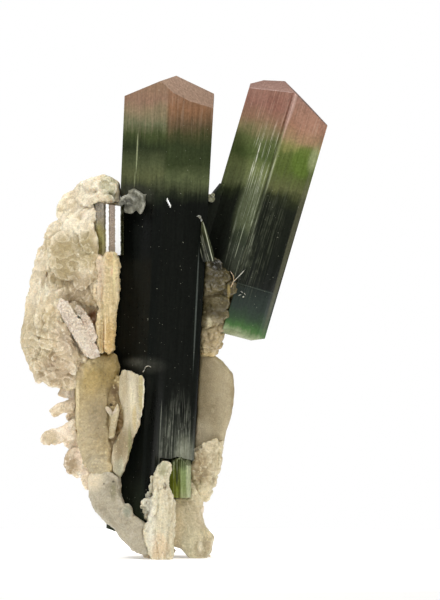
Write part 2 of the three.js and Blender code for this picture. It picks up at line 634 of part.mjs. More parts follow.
// Plates fanned over the back of the matrix: middle, width, height, depth and turn in degrees
const BACK_PLATES = [
  { at: [-14, 11, 58], size: [9, 13], half: 1.3, turn: [-14, 0, 18] },
  { at: [-3, 13, 60], size: [9, 8], half: 1.2, turn: [-20, 8, -6] },
  { at: [-18, 9.5, 44], size: [8, 11], half: 1.3, turn: [6, -14, 26] },
  { at: [-6, 14, 46], size: [11, 12], half: 1.4, turn: [-10, 12, 8] },
  { at: [3.4, 11.5, 50], size: [5.4, 10], half: 1.2, turn: [-8, -10, -24] },
  { at: [-10, 13.5, 31], size: [10, 11], half: 1.4, turn: [8, 16, 12] },
  { at: [1, 12.5, 33], size: [7, 12], half: 1.3, turn: [4, -12, -16] },
  { at: [-3.5, 12.5, 17], size: [9, 9], half: 1.3, turn: [14, 4, -4] },
];

function backPlate({ at, size, half, turn }, seed, grow) {
  const [width, height] = size;
  const outline = [];
  for (let corner = 0; corner < 9; corner++) {
    const angle = (corner / 9) * 2 * Math.PI;
    const reach = 1 + 0.3 * (noiseAt(corner, seed, 7) - 0.5);
    outline.push([width * reach * Math.sin(angle), height * reach * Math.cos(angle)]);
  }
  const flat = blade({ outline, y: 0, half, jag: 0.6, seed, profile: ROOTED_BACK, step: 7.5 }, grow);
  return flat.rotate(turn).translate(at);
}

function cleavelanditeBase(grow) {
  const core = [
    [-10, 66.5], [-2.8, 68.6], [3.6, 64.4], [5.2, 58], [5.6, 51.4], [5.6, 41.4], [8, 37.4], [8.8, 31.4],
    [7.2, 23.4], [6, 15.8], [4, 10], [-0.8, 8.4], [-6.4, 8.4], [-10.2, 11.4], [-13, 17.4], [-14.6, 25.4],
    [-16, 33.4], [-20.8, 37.8], [-24, 44.4], [-23.2, 54.4], [-20.6, 61.4], [-17.2, 67], [-14, 69.4],
  ];
  const spine = [[-9.2, 62], [-6.8, 51.4], [-8.8, 39.4], [-3.8, 25.4], [-2.8, 14.4]];
  const leftFoot = [[-5.4, 12], [-1.2, 12], [-0.9, 6], [-1, -1], [-5.8, -1], [-5.9, 5]];
  const rearFoot = [[3.4, 14], [6, 14], [5, 9], [5.8, 5], [6.4, -1], [3.8, -1], [3.2, 4], [2.6, 9]];
  return joined([
    blade({ outline: core, spine, y: 8.2, half: 4.4, profile: LENS, step: 6.4, jag: 0.6, rough: 0.8 }, grow),
    blade({ outline: leftFoot, spine: [[-3.1, 10], [-3.1, 1]], y: 2.6, half: 9.6, rough: 0.4 }, grow),
    blade({ outline: rearFoot, spine: [[4.6, 12], [4.8, 1]], y: 7.4, half: 4.6, rough: 0.4 }, grow),
    ...BACK_PLATES.map((plate, index) => backPlate(plate, index + 1, grow)),
  ]);
}

// Every piece in the order in which it claims its room: each later one is cut back from those before it
const PIECES = [
  { name: "main_tourmaline", make: mainTourmaline, finest: FINEST_FACE, colour: 0x1f2a20, roughness: 0.15 },
  { name: "leaning_tourmaline", make: leaningTourmaline, finest: FINEST_FACE, colour: 0x39452f, roughness: 0.15 },
  { name: "clear_tourmaline", make: clearTourmaline, finest: FINEST_FACE, colour: 0xb9a7a4, roughness: 0.08 },
  { name: "green_tourmaline", make: greenTourmaline, finest: FINEST_FACE, colour: 0x5f7f45, roughness: 0.2 },
  { name: "sliver_tourmaline", make: sliverTourmaline, finest: FINEST_FACE, colour: 0x56604a, roughness: 0.15 },
  { name: "albite_crystal", make: albiteCrystal, finest: FINEST_BLADE, colour: 0xa9aaa2, roughness: 0.3 },
  { name: "inner_blade", make: innerBlade, finest: FINEST_BLADE, colour: 0xe6d8bc, roughness: 0.6 },
  { name: "pale_plate", make: palePlate, finest: FINEST_BLADE, colour: 0xe6d6b4, roughness: 0.5 },
  { name: "front_blade", make: frontBlade, finest: FINEST_BLADE, colour: 0xe4cfb8, roughness: 0.75 },
  { name: "broad_plate", make: broadPlate, finest: FINEST_LUMP, colour: 0xcdb585, roughness: 0.55 },
  { name: "finger_blades", make: fingerBlades, finest: FINEST_BLADE, colour: 0xdccfc8, roughness: 0.7 },
  { name: "upright_blade", make: uprightBlade, finest: FINEST_BLADE, colour: 0xe0c898, roughness: 0.6 },
  { name: "lower_plate", make: lowerPlate, finest: FINEST_LUMP, colour: 0xd9cfb8, roughness: 0.55 },
  { name: "left_rosette", make: leftRosette, finest: FINEST_LUMP, colour: 0xdccab4, roughness: 0.65 },
  { name: "side_blades", make: sideBlades, finest: FINEST_LUMP, colour: 0xe2cdb4, roughness: 0.65 },
  { name: "right_plate", make: rightPlate, finest: FINEST_LUMP, colour: 0xa99576, roughness: 0.5 },
  { name: "brown_lump", make: brownLump, finest: FINEST_LUMP, colour: 0x6b5a42, roughness: 0.4 },
  { name: "right_foot", make: rightFoot, finest: FINEST_LUMP, colour: 0xc9b494, roughness: 0.7 },
  { name: "cleavelandite_base", make: cleavelanditeBase, finest: FINEST_LUMP, colour: 0xd8c6ac, roughness: 0.7 },
];

function buildSpecimen() {
  const specimen = new THREE.Group();
  const claimed = [];
  for (const { name, make, finest, colour, roughness } of PIECES) {
    const room = claimed.reduce((rest, taken) => rest.subtract(taken), make(0).simplify(finest));
    const solid = largestBody(room.trimByPlane([0, 0, 1], FLOOR).simplify(finest / 2));
    const finish = { color: colour, roughness, metalness: 0, flatShading: true };
    const material = new THREE.MeshStandardMaterial(finish);
    const mesh = new THREE.Mesh(geometryOf(solid), material);
    mesh.name = name;
    specimen.add(mesh);
    claimed.push(make(GAP));
  }
  const box = new THREE.Box3().setFromObject(specimen);
  const middle = box.getCenter(new THREE.Vector3());
  specimen.position.set(-middle.x, -middle.y, -box.min.z);
  return specimen;
}

const model = new THREE.Group();
model.add(buildSpecimen());

export default model;
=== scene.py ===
# Tourmaline on cleavelandite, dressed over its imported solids: zoned tourmaline prisms in a spray of platy
# albite. Metres, +Z up, -Y to the front.
import math
import random

import bpy
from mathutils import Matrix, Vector


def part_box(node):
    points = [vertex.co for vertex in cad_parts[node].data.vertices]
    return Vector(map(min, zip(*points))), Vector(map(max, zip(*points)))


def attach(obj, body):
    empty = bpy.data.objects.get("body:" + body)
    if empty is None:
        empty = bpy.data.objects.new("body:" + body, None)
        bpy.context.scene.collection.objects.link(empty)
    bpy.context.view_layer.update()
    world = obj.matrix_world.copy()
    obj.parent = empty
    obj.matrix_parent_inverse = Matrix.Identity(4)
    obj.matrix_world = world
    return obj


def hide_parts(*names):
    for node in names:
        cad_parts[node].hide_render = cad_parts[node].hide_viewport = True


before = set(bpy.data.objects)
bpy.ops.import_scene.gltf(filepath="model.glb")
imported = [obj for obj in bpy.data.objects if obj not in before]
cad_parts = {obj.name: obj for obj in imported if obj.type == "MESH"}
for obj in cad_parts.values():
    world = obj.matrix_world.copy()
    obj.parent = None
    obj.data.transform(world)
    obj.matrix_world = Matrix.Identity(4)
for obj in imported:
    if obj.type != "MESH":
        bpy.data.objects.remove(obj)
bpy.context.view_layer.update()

# The table and the light: a round pale table with a soft key light high on the left, a weaker one on the
# right and one from behind. The room is white to the eye, dimmer toward the camera's side and much dimmer in
# reflections, so that the black prism stays black.
MM = 0.001
TABLE_RADIUS = 0.16
TABLE_THICKNESS = 0.02
TABLE_GAP = 0.02 * MM  # below the specimen, so that the two flat faces don't coincide
TABLE_COLOUR = "#F6F5F2"
VIEW_HEIGHT = 0.12  # what the picture takes in at the specimen, top to bottom
VIEW_CENTRE = (0.00905, 0.0514)  # X and Z of the picture's middle
LENS = 400
SENSOR = 36
LIT_POINT = (0, 0, 0.045)  # the lights face this
LIGHTS = [
    # name, place, size, watts
    ("key", (-0.75, -0.6, 1.15), 0.3, 12),
    ("fill", (0.75, -0.7, 1.0), 0.5, 9),
    ("back", (-0.3, 0.7, 1.3), 0.6, 7),
]


def only(piece):
    """Makes a piece the only one that is selected, and the active one."""
    if bpy.context.object and bpy.context.object.mode != "OBJECT":
        bpy.ops.object.mode_set(mode="OBJECT")
    bpy.ops.object.select_all(action="DESELECT")
    piece.select_set(True)
    bpy.context.view_layer.objects.active = piece


def hex_linear(code):
    """An sRGB hex colour as linear red, green and blue, with an alpha of 1."""
    channels = [int(code[i:i + 2], 16) / 255 for i in (1, 3, 5)]
    return [c / 12.92 if c <= 0.04045 else ((c + 0.055) / 1.055) ** 2.4 for c in channels] + [1.0]


def add_node(owner, kind, settings=None, links=None):
    """Adds a node to a material or a world, with its settings and what is linked into it."""
    node = owner.node_tree.nodes.new(kind)
    for key, value in (settings or {}).items():
        if key == "stops":
            elements = node.color_ramp.elements
            while len(elements) < len(value):
                elements.new(1.0)
            for element, (position, code) in zip(elements, value):
                element.position = position
                element.color = hex_linear(code)
        elif isinstance(key, str) and hasattr(node, key):
            setattr(node, key, value)
        else:
            node.inputs[key].default_value = value
    for key, source in (links or {}).items():
        owner.node_tree.links.new(source, node.inputs[key])
    return node


bpy.ops.object.select_all(action="DESELECT")
bpy.ops.mesh.primitive_circle_add(
    vertices=96, radius=TABLE_RADIUS, fill_type="NGON", location=(0, 0, -TABLE_GAP),
)
table = bpy.context.object
table.name = "table"
bpy.ops.object.mode_set(mode="EDIT")
bpy.ops.mesh.extrude_region_move(TRANSFORM_OT_translate={"value": (0, 0, -TABLE_THICKNESS)})
bpy.ops.mesh.select_all(action="SELECT")
bpy.ops.mesh.normals_make_consistent(inside=False)
bpy.ops.object.mode_set(mode="OBJECT")
board = bpy.data.materials.new("matt_white_board")
board.use_nodes = True
paper = board.node_tree.nodes["Principled BSDF"]
paper.inputs["Roughness"].default_value = 0.9
paper.inputs["Emission Color"].default_value = (1, 1, 1, 1)
paper.inputs["Emission Strength"].default_value = 0.3
paper.inputs["Base Color"].default_value = hex_linear(TABLE_COLOUR)
table.data.materials.append(board)

world = bpy.data.worlds.new("studio")
bpy.context.scene.world = world
world.use_nodes = True
sky = world.node_tree.nodes["Background"]
sky.inputs["Color"].default_value = (1, 1, 1, 1)
around = add_node(world, "ShaderNodeTexCoord")
ways = add_node(world, "ShaderNodeSeparateXYZ", {}, {"Vector": around.outputs["Generated"]})
glow = add_node(
    world, "ShaderNodeMapRange",
    {"From Min": -0.6, "From Max": 0.9, "To Min": 0.4, "To Max": 0.8}, {"Value": ways.outputs["Y"]},
)
ray = add_node(world, "ShaderNodeLightPath")
seen = add_node(
    world, "ShaderNodeMath", {"operation": "MAXIMUM"},
    {0: ray.outputs["Is Camera Ray"], 1: ray.outputs["Is Transmission Ray"]},
)
mirrored = add_node(
    world, "ShaderNodeMapRange", {"To Min": 1.0, "To Max": 0.12}, {"Value": ray.outputs["Is Glossy Ray"]},
)
dimmed = add_node(
    world, "ShaderNodeMath", {"operation": "MULTIPLY"}, {0: glow.outputs[0], 1: mirrored.outputs[0]},
)
strength = add_node(
    world, "ShaderNodeMix", {"data_type": "FLOAT", 3: 1.0},
    {0: seen.outputs[0], 2: dimmed.outputs[0]},
)
world.node_tree.links.new(strength.outputs[0], sky.inputs["Strength"])

for name, place, size, watts in LIGHTS:
    toward = Vector(LIT_POINT) - Vector(place)
    bpy.ops.object.light_add(type="AREA", location=place, rotation=toward.to_track_quat("-Z", "Y").to_euler())
    lamp = bpy.context.object
    lamp.name = name
    lamp.data.size = size
    lamp.data.energy = watts

distance = VIEW_HEIGHT * LENS / SENSOR
bpy.ops.object.camera_add(
    location=(VIEW_CENTRE[0], -distance, VIEW_CENTRE[1]), rotation=(math.pi / 2, 0, 0),
)
camera = bpy.context.object
camera.data.sensor_fit = "VERTICAL"
camera.data.sensor_height = SENSOR
camera.data.lens = LENS
camera.data.clip_end = 20
bpy.context.scene.camera = camera
bpy.context.scene.view_settings.view_transform = "Standard"


# The tall tourmaline prism: elbaite, zoned along its length from a pink tip through green to black, with
# fine grooves down its sides. It grew with these flat faces, and its edges are just blunted.
MAIN_LEAN = math.radians(2.8)
MAIN_FOOT = (-5.45, -3.06, 5.0)  # mm, the middle of its lower end
MAIN_LEFT = [  # mm along the prism from its foot, colour
    (0, "#2A3022"), (7, "#1B2018"), (12, "#121512"), (64, "#121412"), (66.5, "#1C2018"), (69, "#3C402D"),
    (71, "#565A3C"), (73.5, "#4B5136"), (76.5, "#2C3320"), (79.5, "#414A2B"), (81.5, "#686A4E"),
    (84, "#88785D"), (86, "#90725E"), (91, "#967A61"),
]
MAIN_RIGHT = [
    (0, "#5A5E4C"), (15.4, "#4C4F46"), (18, "#373A32"), (20.4, "#232520"), (25, "#131512"), (34, "#131512"),
    (66, "#131512"), (67.3, "#23271C"), (68.6, "#40452F"), (71, "#535A3C"), (73.5, "#363E25"),
    (77, "#333B24"), (79.5, "#44452A"), (81.5, "#5E4E38"), (84.5, "#866247"), (91, "#8E6D58"),
]
MAIN_CLEAR = [  # mm along, how clear it is there, black for not at all
    (62, "#000000"), (70, "#303030"), (76, "#101010"), (82, "#383838"), (88, "#585858"),
]
TALL_EDGE = 0.16  # mm, the width of the blunted edges of the two tall crystals
TO_MM = 1000  # from the metres of the frame
# How many of each pattern's features lie side by side in a millimetre
GROOVES_PER_MM = 1.8
BLOTCHES_PER_MM = 0.35
GRAINS_PER_MM = 2.2
HAIRS_PER_MM = 5.0
BREAKS_PER_MM = 1.5
DUST_PER_MM = 3.4
GROOVE_WANDER = 1.2  # mm, how far a zone's end strays up and down from one groove to the next
BLOTCH_WANDER = 1.3  # mm, and from one part of a face to another


def fresh_copy(node, name):
    """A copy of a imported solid's mesh as a new piece, with its doubled points merged."""
    piece = bpy.data.objects.new(name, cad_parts[node].data.copy())
    bpy.context.scene.collection.objects.link(piece)
    piece.data.materials.clear()
    only(piece)
    bpy.ops.mesh.customdata_custom_splitnormals_clear()
    bpy.ops.object.mode_set(mode="EDIT")
    bpy.ops.mesh.select_all(action="SELECT")
    bpy.ops.mesh.remove_doubles(threshold=1e-6)
    bpy.ops.object.mode_set(mode="OBJECT")
    return piece


def modify(piece, kind, **settings):
    """Adds a modifier with its settings and applies it."""
    only(piece)
    modifier = piece.modifiers.new(kind.title(), kind)
    for key, value in settings.items():
        setattr(modifier, key, value)
    bpy.ops.object.modifier_apply(modifier=modifier.name)


def place_piece(piece, material, node):
    """Gives a finished piece its material, puts it in the root body, and hides the solid that it stands for.
    """
    piece.data.materials.clear()
    piece.data.materials.append(material)
    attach(piece, "root")
    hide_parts(node)


def crisp_crystal(node, name, edge_mm):
    """A crystal with flat faces: its solid with the faces made whole and the edges blunted. The narrow faces
    along the edges are marked for a painted grey tone, which is a painted sheen on black zones and a painted
    dark outline on paler ones."""
    piece = fresh_copy(node, name)
    bpy.ops.object.mode_set(mode="EDIT")
    bpy.ops.mesh.select_all(action="SELECT")
    bpy.ops.mesh.dissolve_limited(angle_limit=math.radians(0.6))
    bpy.ops.object.mode_set(mode="OBJECT")
    modify(
        piece, "BEVEL", width=edge_mm * MM, segments=2, limit_method="ANGLE",
        angle_limit=math.radians(24), use_clamp_overlap=True,
    )
    bpy.ops.object.shade_smooth_by_angle(angle=math.radians(20))
    edge_paint_marks = piece.data.attributes.new("blunt_edge", "FLOAT", "FACE")
    for face, mark in zip(piece.data.polygons, edge_paint_marks.data):
        rim = sum((piece.data.vertices[a].co - piece.data.vertices[b].co).length for a, b in face.edge_keys)
        narrow = face.area / rim < edge_mm * MM / 2
        facing_front = face.normal.y < -0.6
        mark.value = 1.0 if narrow and not facing_front else 0.0
    return piece


def spot(material, colour, place, middle, reach, code, strength, soft=0.6):
    """Mixes a colour in over an ellipsoid, whose middle and reach are in the same millimetres as place. The
    strength is how much of it shows, and soft is how wide its rim is, as a share of the reach."""
    near = add_node(
        material, "ShaderNodeMapping",
        {"Location": [-m / r for m, r in zip(middle, reach)], "Scale": [1 / r for r in reach]},
        {"Vector": place},
    )
    away = add_node(material, "ShaderNodeVectorMath", {"operation": "LENGTH"}, {0: near.outputs[0]})
    mask = add_node(
        material, "ShaderNodeMapRange",
        {
            "interpolation_type": "SMOOTHSTEP", "From Min": 1 + soft / 2, "From Max": 1 - soft / 2,
            "To Max": strength,
        },
        {"Value": away.outputs["Value"]},
    )
    mixed = add_node(
        material, "ShaderNodeMix", {"data_type": "RGBA", 7: hex_linear(code)},
        {0: mask.outputs[0], 6: colour},
    )
    return mixed.outputs[2]


def tinted(material, colour, value, start, full, most, code):
    """Mixes a colour in where a value rises from start, where none shows, to full, where most shows."""
    share = add_node(
        material, "ShaderNodeMapRange", {"From Min": start, "From Max": full, "To Max": most},
        {"Value": value},
    )
    mixed = add_node(
        material, "ShaderNodeMix", {"data_type": "RGBA", 7: hex_linear(code)},
        {0: share.outputs[0], 6: colour},
    )
    return mixed.outputs[2]


def mottled(material, colour, value, start, full, darkest, lightest):
    """Multiplies a colour by a pattern: by darkest where its value is at start, by lightest where it is at
    full."""
    share = add_node(
        material, "ShaderNodeMapRange",
        {"From Min": start, "From Max": full, "To Min": darkest, "To Max": lightest}, {"Value": value},
    )
    mixed = add_node(
        material, "ShaderNodeMix", {"data_type": "RGBA", "blend_type": "MULTIPLY", 0: 1.0},
        {6: colour, 7: share.outputs[0]},
    )
    return mixed.outputs[2]


def zoned_tourmaline(name, lean, foot, left, right, ridge, clear, spots, hairline_glints, cap="#9C8472"):
    """Tourmaline with colour zones along its axis, in streaks as fine as the growth grooves. The zones differ
    on the two faces that meet at a ridge, so many millimetres right of the foot. Each of the spots is what
    spot() takes. The hairline glints are groups of painted highlights along growth hairlines: middle, reach,
    colour, strength, and how high the pattern has to be for a line to show. The narrow faces of the blunted
    edges get a painted grey tone. Glassy, so roughness is low and IOR is 1.63."""
    material = bpy.data.materials.new(name)
    material.use_nodes = True
    shader = material.node_tree.nodes["Principled BSDF"]
    where = add_node(material, "ShaderNodeTexCoord")
    foot_across = foot[0] * math.cos(lean) - foot[2] * math.sin(lean)
    foot_along = foot[0] * math.sin(lean) + foot[2] * math.cos(lean)
    upright = add_node(
        material, "ShaderNodeMapping",
        {
            "Scale": (TO_MM, TO_MM, TO_MM), "Rotation": (0, -lean, 0),
            "Location": (-foot_across, -foot[1], -foot_along),
        },
        {"Vector": where.outputs["Object"]},
    ).outputs[0]
    axes = add_node(material, "ShaderNodeSeparateXYZ", {}, {0: upright})
    drawn_out = add_node(material, "ShaderNodeMapping", {"Scale": (1, 1, 0.05)}, {"Vector": upright})
    fibres = add_node(
        material, "ShaderNodeTexNoise", {"Scale": GROOVES_PER_MM, "Detail": 5.0, "Roughness": 0.7},
        {"Vector": drawn_out.outputs[0]},
    )
    blotches = add_node(
        material, "ShaderNodeTexNoise", {"Scale": BLOTCHES_PER_MM, "Detail": 2.0}, {"Vector": upright},
    )
    along = axes.outputs["Z"]
    for pattern, stray in ((fibres, GROOVE_WANDER), (blotches, BLOTCH_WANDER)):
        shift = add_node(
            material, "ShaderNodeMath", {"operation": "MULTIPLY_ADD", 1: 2 * stray, 2: -stray},
            {0: pattern.outputs[0]},
        )
        along = add_node(
            material, "ShaderNodeMath", {"operation": "ADD"}, {0: along, 1: shift.outputs[0]},
        ).outputs[0]
    length = left[-1][0]
    share = add_node(material, "ShaderNodeMath", {"operation": "DIVIDE", 1: float(length)}, {0: along})
    ramps = [
        add_node(
            material, "ShaderNodeValToRGB", {"stops": [(z / length, code) for z, code in zones]},
            {"Fac": share.outputs[0]},
        )
        for zones in (left, right, clear)
    ]
    side = add_node(
        material, "ShaderNodeMapRange",
        {"interpolation_type": "SMOOTHSTEP", "From Min": ridge - 0.5, "From Max": ridge + 0.5},
        {"Value": axes.outputs["X"]},
    )
    colour = add_node(
        material, "ShaderNodeMix", {"data_type": "RGBA"},
        {0: side.outputs[0], 6: ramps[0].outputs[0], 7: ramps[1].outputs[0]},
    ).outputs[2]
    for area in spots:
        colour = spot(material, colour, upright, *area)
    # The end faces at its head, which show the colour of the cap
    facing = add_node(material, "ShaderNodeNewGeometry")
    facing_axes = add_node(material, "ShaderNodeSeparateXYZ", {}, {0: facing.outputs["Normal"]})
    upward = add_node(
        material, "ShaderNodeMapRange", {"From Min": 0.45, "From Max": 0.6, "To Max": 0.75},
        {"Value": facing_axes.outputs["Z"]},
    )
    head = add_node(
        material, "ShaderNodeMapRange", {"From Min": 0.75 * length, "From Max": 0.8 * length},
        {"Value": axes.outputs["Z"]},
    )
    ends = add_node(
        material, "ShaderNodeMath", {"operation": "MULTIPLY"}, {0: upward.outputs[0], 1: head.outputs[0]},
    )
    colour = add_node(
        material, "ShaderNodeMix", {"data_type": "RGBA", 7: hex_linear(cap)}, {0: ends.outputs[0], 6: colour},
    ).outputs[2]
    colour = mottled(material, colour, fibres.outputs[0], start=0.3, full=0.7, darkest=0.8, lightest=1.2)
    grain = add_node(
        material, "ShaderNodeTexNoise", {"Scale": GRAINS_PER_MM, "Detail": 2.0}, {"Vector": upright},
    )
    colour = mottled(material, colour, grain.outputs[0], start=0.3, full=0.7, darkest=0.84, lightest=1.16)
    # A painted grey tone on the narrow faces of the blunted edges: a painted sheen on black, a painted dark
    # outline on paler zones
    painted_edge_mask = add_node(material, "ShaderNodeAttribute", {"attribute_name": "blunt_edge"})
    colour = tinted(material, colour, painted_edge_mask.outputs["Fac"], start=0.0, full=1.0, most=0.55, code="#474A40")
    # Painted highlights along growth hairlines, which catch the light: thinner than a pixel in truth
    # and drawn 0.15 mm wide
    thin = add_node(material, "ShaderNodeMapping", {"Scale": (1, 0.12, 0.02)}, {"Vector": upright})
    glint_lines = add_node(
        material, "ShaderNodeTexNoise", {"Scale": HAIRS_PER_MM, "Detail": 1.0}, {"Vector": thin.outputs[0]},
    )
    short = add_node(material, "ShaderNodeMapping", {"Scale": (1, 0.3, 0.4)}, {"Vector": upright})
    breaks = add_node(
        material, "ShaderNodeTexNoise", {"Scale": BREAKS_PER_MM, "Detail": 2.0}, {"Vector": short.outputs[0]},
    )
    whole = add_node(
        material, "ShaderNodeMapRange", {"From Min": 0.42, "From Max": 0.56, "To Min": 0.3},
        {"Value": breaks.outputs[0]},
    )
    for middle, reach, code, strength, least in hairline_glints:
        line = add_node(
            material, "ShaderNodeMapRange", {"From Min": least, "From Max": least + 0.06},
            {"Value": glint_lines.outputs[0]},
        )
        lit = add_node(
            material, "ShaderNodeMath", {"operation": "MULTIPLY"}, {0: line.outputs[0], 1: whole.outputs[0]},
        )
        bright = spot(material, colour, upright, middle, reach, code, strength)
        colour = add_node(
            material, "ShaderNodeMix", {"data_type": "RGBA"}, {0: lit.outputs[0], 6: colour, 7: bright},
        ).outputs[2]
    # Specks of dust and tiny inclusions
    dust = add_node(
        material, "ShaderNodeTexNoise", {"Scale": DUST_PER_MM, "Detail": 0.0}, {"Vector": upright},
    )
    colour = tinted(material, colour, dust.outputs[0], start=0.83, full=0.88, most=0.4, code="#B9B8A4")
    grooves = add_node(
        material, "ShaderNodeBump", {"Strength": 0.3, "Distance": 0.04 * MM}, {"Height": fibres.outputs[0]},
    )
    links = material.node_tree.links
    links.new(colour, shader.inputs["Base Color"])
    links.new(ramps[2].outputs[0], shader.inputs["Transmission Weight"])
    links.new(grooves.outputs[0], shader.inputs["Normal"])
    shader.inputs["Roughness"].default_value = 0.22
    shader.inputs["IOR"].default_value = 1.63
    shader.inputs["Specular IOR Level"].default_value = 0.1
    return material


main_material = zoned_tourmaline(
    "pink_to_black_tourmaline", lean=MAIN_LEAN, foot=MAIN_FOOT, left=MAIN_LEFT, right=MAIN_RIGHT,
    ridge=0.0, clear=MAIN_CLEAR,
    spots=[
        # a greyer place below its green band, and two pale lines in the band
        ((-7, -5, 67), (5, 5, 2.4), "#3A3B33", 0.7),
        ((-5.7, -6, 75.6), (0.14, 8, 4), "#9DA27C", 0.8),
        ((-5.9, -6, 70.2), (0.1, 8, 1.6), "#8A8F6C", 0.6),
        # a short painted white glint on the black zone, in four steps, and a painted highlight along its
        # right edge
        ((0.8, -6, 66.4), (0.12, 8, 0.36), "#F4F4EC", 1.0, 0.3),
        ((1.02, -6, 66.0), (0.12, 8, 0.36), "#FFFFFF", 1.0, 0.3),
        ((1.24, -6, 65.6), (0.12, 8, 0.36), "#FFFFFF", 1.0, 0.3),
        ((1.46, -6, 65.2), (0.11, 8, 0.36), "#E8E8E0", 1.0, 0.3),
        ((7.55, -2, 45.5), (0.16, 9, 12), "#555B55", 0.6),
        # the black ridge low down, with pale lines and dull patches to its right
        ((0.3, -8, 14), (1.3, 8, 16), "#0E100D", 1.0, 0.2),
        ((1.65, -8, 21), (0.1, 8, 5), "#6E7265", 0.8),
        ((3.0, -8, 15), (1.9, 8, 7), "#292B25", 0.8, 1.2),
        ((6.6, -8, 15.6), (1.6, 8, 3.6), "#8A8C78", 0.6, 1.2),
        # a painted grey sheen beside the top of the pale plate
        ((-2.6, -8, 33.4), (3.4, 8, 1.3), "#46463E", 0.5, 1.6),
        ((-4.4, -8, 33.8), (1.6, 8, 0.8), "#6A6A60", 0.4, 1.4),
    ],
    hairline_glints=[
        ((5.2, -6, 15), (3.5, 8, 12), "#A3A695", 0.2, 0.46),
        ((5.4, -6, 13.4), (3.4, 8, 9), "#B3B6A5", 0.22, 0.56),
        ((0, 0, 88), (14, 14, 9), "#B39A84", 0.25, 0.55),
    ],
)
main_prism = crisp_crystal("main_tourmaline", "main_prism", TALL_EDGE)
place_piece(main_prism, main_material, "main_tourmaline")


# The leaning crystal: two prisms of the same tourmaline grown side by side as one, with faces at both
# ends. Pink, green and black again, but with a second green band at its lower end.
LEANING_LEAN = math.radians(16.4)
LEANING_FOOT = (14.05, 2.44, 43.6)  # mm, the middle of its lower end
BREAK_ALONG = 14  # mm up from its foot, where its left prism is broken off
BREAK_ACROSS = -3.7  # mm, what lies left of this is the right prism's left edge
BREAK_FADE = 6  # mm, over which the widening below the break grows to its whole
WIDENING = (-0.8, 0, -0.4)  # mm, how far that edge is moved in the frame's axes
LEANING_LEFT = [
    (0, "#99A081"), (0.9, "#818E69"), (2.0, "#3F6331"), (3.8, "#2B4029"), (6, "#27332B"), (10, "#1E2722"),
    (10.4, "#1F211D"), (26, "#272A23"), (28, "#353B28"), (30, "#707750"), (33, "#727A4E"), (36, "#4D5A32"),
    (39, "#5A633B"), (41, "#7A7150"), (43, "#8A6B54"), (46, "#90685A"), (53, "#9A7566"),
]
LEANING_RIGHT = [
    (0, "#99A081"), (0.9, "#818E69"), (2.0, "#3F6331"), (3.8, "#2B4029"), (6, "#26312A"), (10, "#1E2521"),
    (10.4, "#141713"), (27, "#1D2019"), (29, "#2C301F"), (31, "#5C5F3C"), (35, "#525E2E"), (38, "#5B6634"),
    (39.5, "#86834F"), (41, "#9A8060"), (44, "#9C735C"), (53, "#A8857A"),
]
LEANING_CLEAR = [
    (0, "#404040"), (3, "#303030"), (10, "#101010"), (26, "#000000"), (31, "#303030"), (41, "#404040"),
    (46, "#585858"),
]

leaning_material = zoned_tourmaline(
    "pink_to_green_tourmaline", lean=LEANING_LEAN, foot=LEANING_FOOT, left=LEANING_LEFT,
    right=LEANING_RIGHT, ridge=-4.6, clear=LEANING_CLEAR, cap="#8E7065",
    spots=[
        # darker pink on the left, and a light line where its two prisms join, painted over the shade of the
        # groove there
        ((-7.4, -5, 47.2), (1.5, 8, 2.6), "#84584A", 0.6, 1.2),
        ((-3.9, -5, 47.4), (0.3, 8, 3.4), "#BFA296", 0.5),
        ((-4.2, -5, 46.6), (0.35, 8, 6.4), "#C9A79A", 0.7, 1.0),
        ((-4.4, -5, 36), (0.35, 8, 6), "#8D9468", 0.7, 1.0),
        ((-4.6, -5, 22), (0.35, 8, 10), "#565B4A", 0.7, 1.0),
        # a paler pink place, and the grey-green left prism where the right one is black
        ((0.6, -5, 44.6), (3.2, 8, 2.2), "#AF8672", 0.5, 1.2),
        ((-6.8, -5, 24.6), (2.3, 8, 6.6), "#5B6248", 0.85),
        ((-6.8, -5, 18), (2.0, 8, 3), "#343A2E", 0.8),
        ((-6.6, -5, 14.4), (2.2, 8, 3.6), "#3F4338", 0.8),
        # purer green in the upper band, a painted highlight along its right edge, and thin lines where the
        # black ends
        ((1.4, -5, 37.2), (2.6, 8, 3.2), "#586B2E", 0.85),
        ((3.2, -2, 22), (0.5, 8, 20), "#66654F", 0.5),
        ((-7.2, -5, 10.4), (2.6, 8, 0.12), "#767E6E", 0.4),
        ((-0.6, -5, 10.3), (4.6, 8, 0.1), "#3E463E", 0.6),
        ((3.0, -5, 38.4), (0.9, 8, 2.2), "#A9AE80", 0.6, 1.2),
    ],
    hairline_glints=[
        ((-6.9, -6, 35.5), (2.6, 8, 6.5), "#E6E6D2", 0.75, 0.595),
        ((-6.2, -6, 24), (2.4, 8, 15), "#9EA38C", 0.7, 0.57),
        ((-2.6, -6, 22), (3.2, 8, 14), "#5E634F", 0.26, 0.5),
        ((-4, 0, 46), (12, 12, 7), "#C3A692", 0.3, 0.57),
    ],
)
leaning_prism = crisp_crystal("leaning_tourmaline", "leaning_prism", TALL_EDGE)
# Below the break of its left prism the right one is a little wider, and reaches behind the brown lump
for corner in leaning_prism.data.vertices:
    right, up = corner.co.x / MM - LEANING_FOOT[0], corner.co.z / MM - LEANING_FOOT[2]
    along = right * math.sin(LEANING_LEAN) + up * math.cos(LEANING_LEAN)
    across = right * math.cos(LEANING_LEAN) - up * math.sin(LEANING_LEAN)
    if across < BREAK_ACROSS:
        fade = min(1, max(0, (BREAK_ALONG - along) / BREAK_FADE))
        corner.co += Vector(WIDENING) * MM * fade
place_piece(leaning_prism, leaning_material, "leaning_tourmaline")
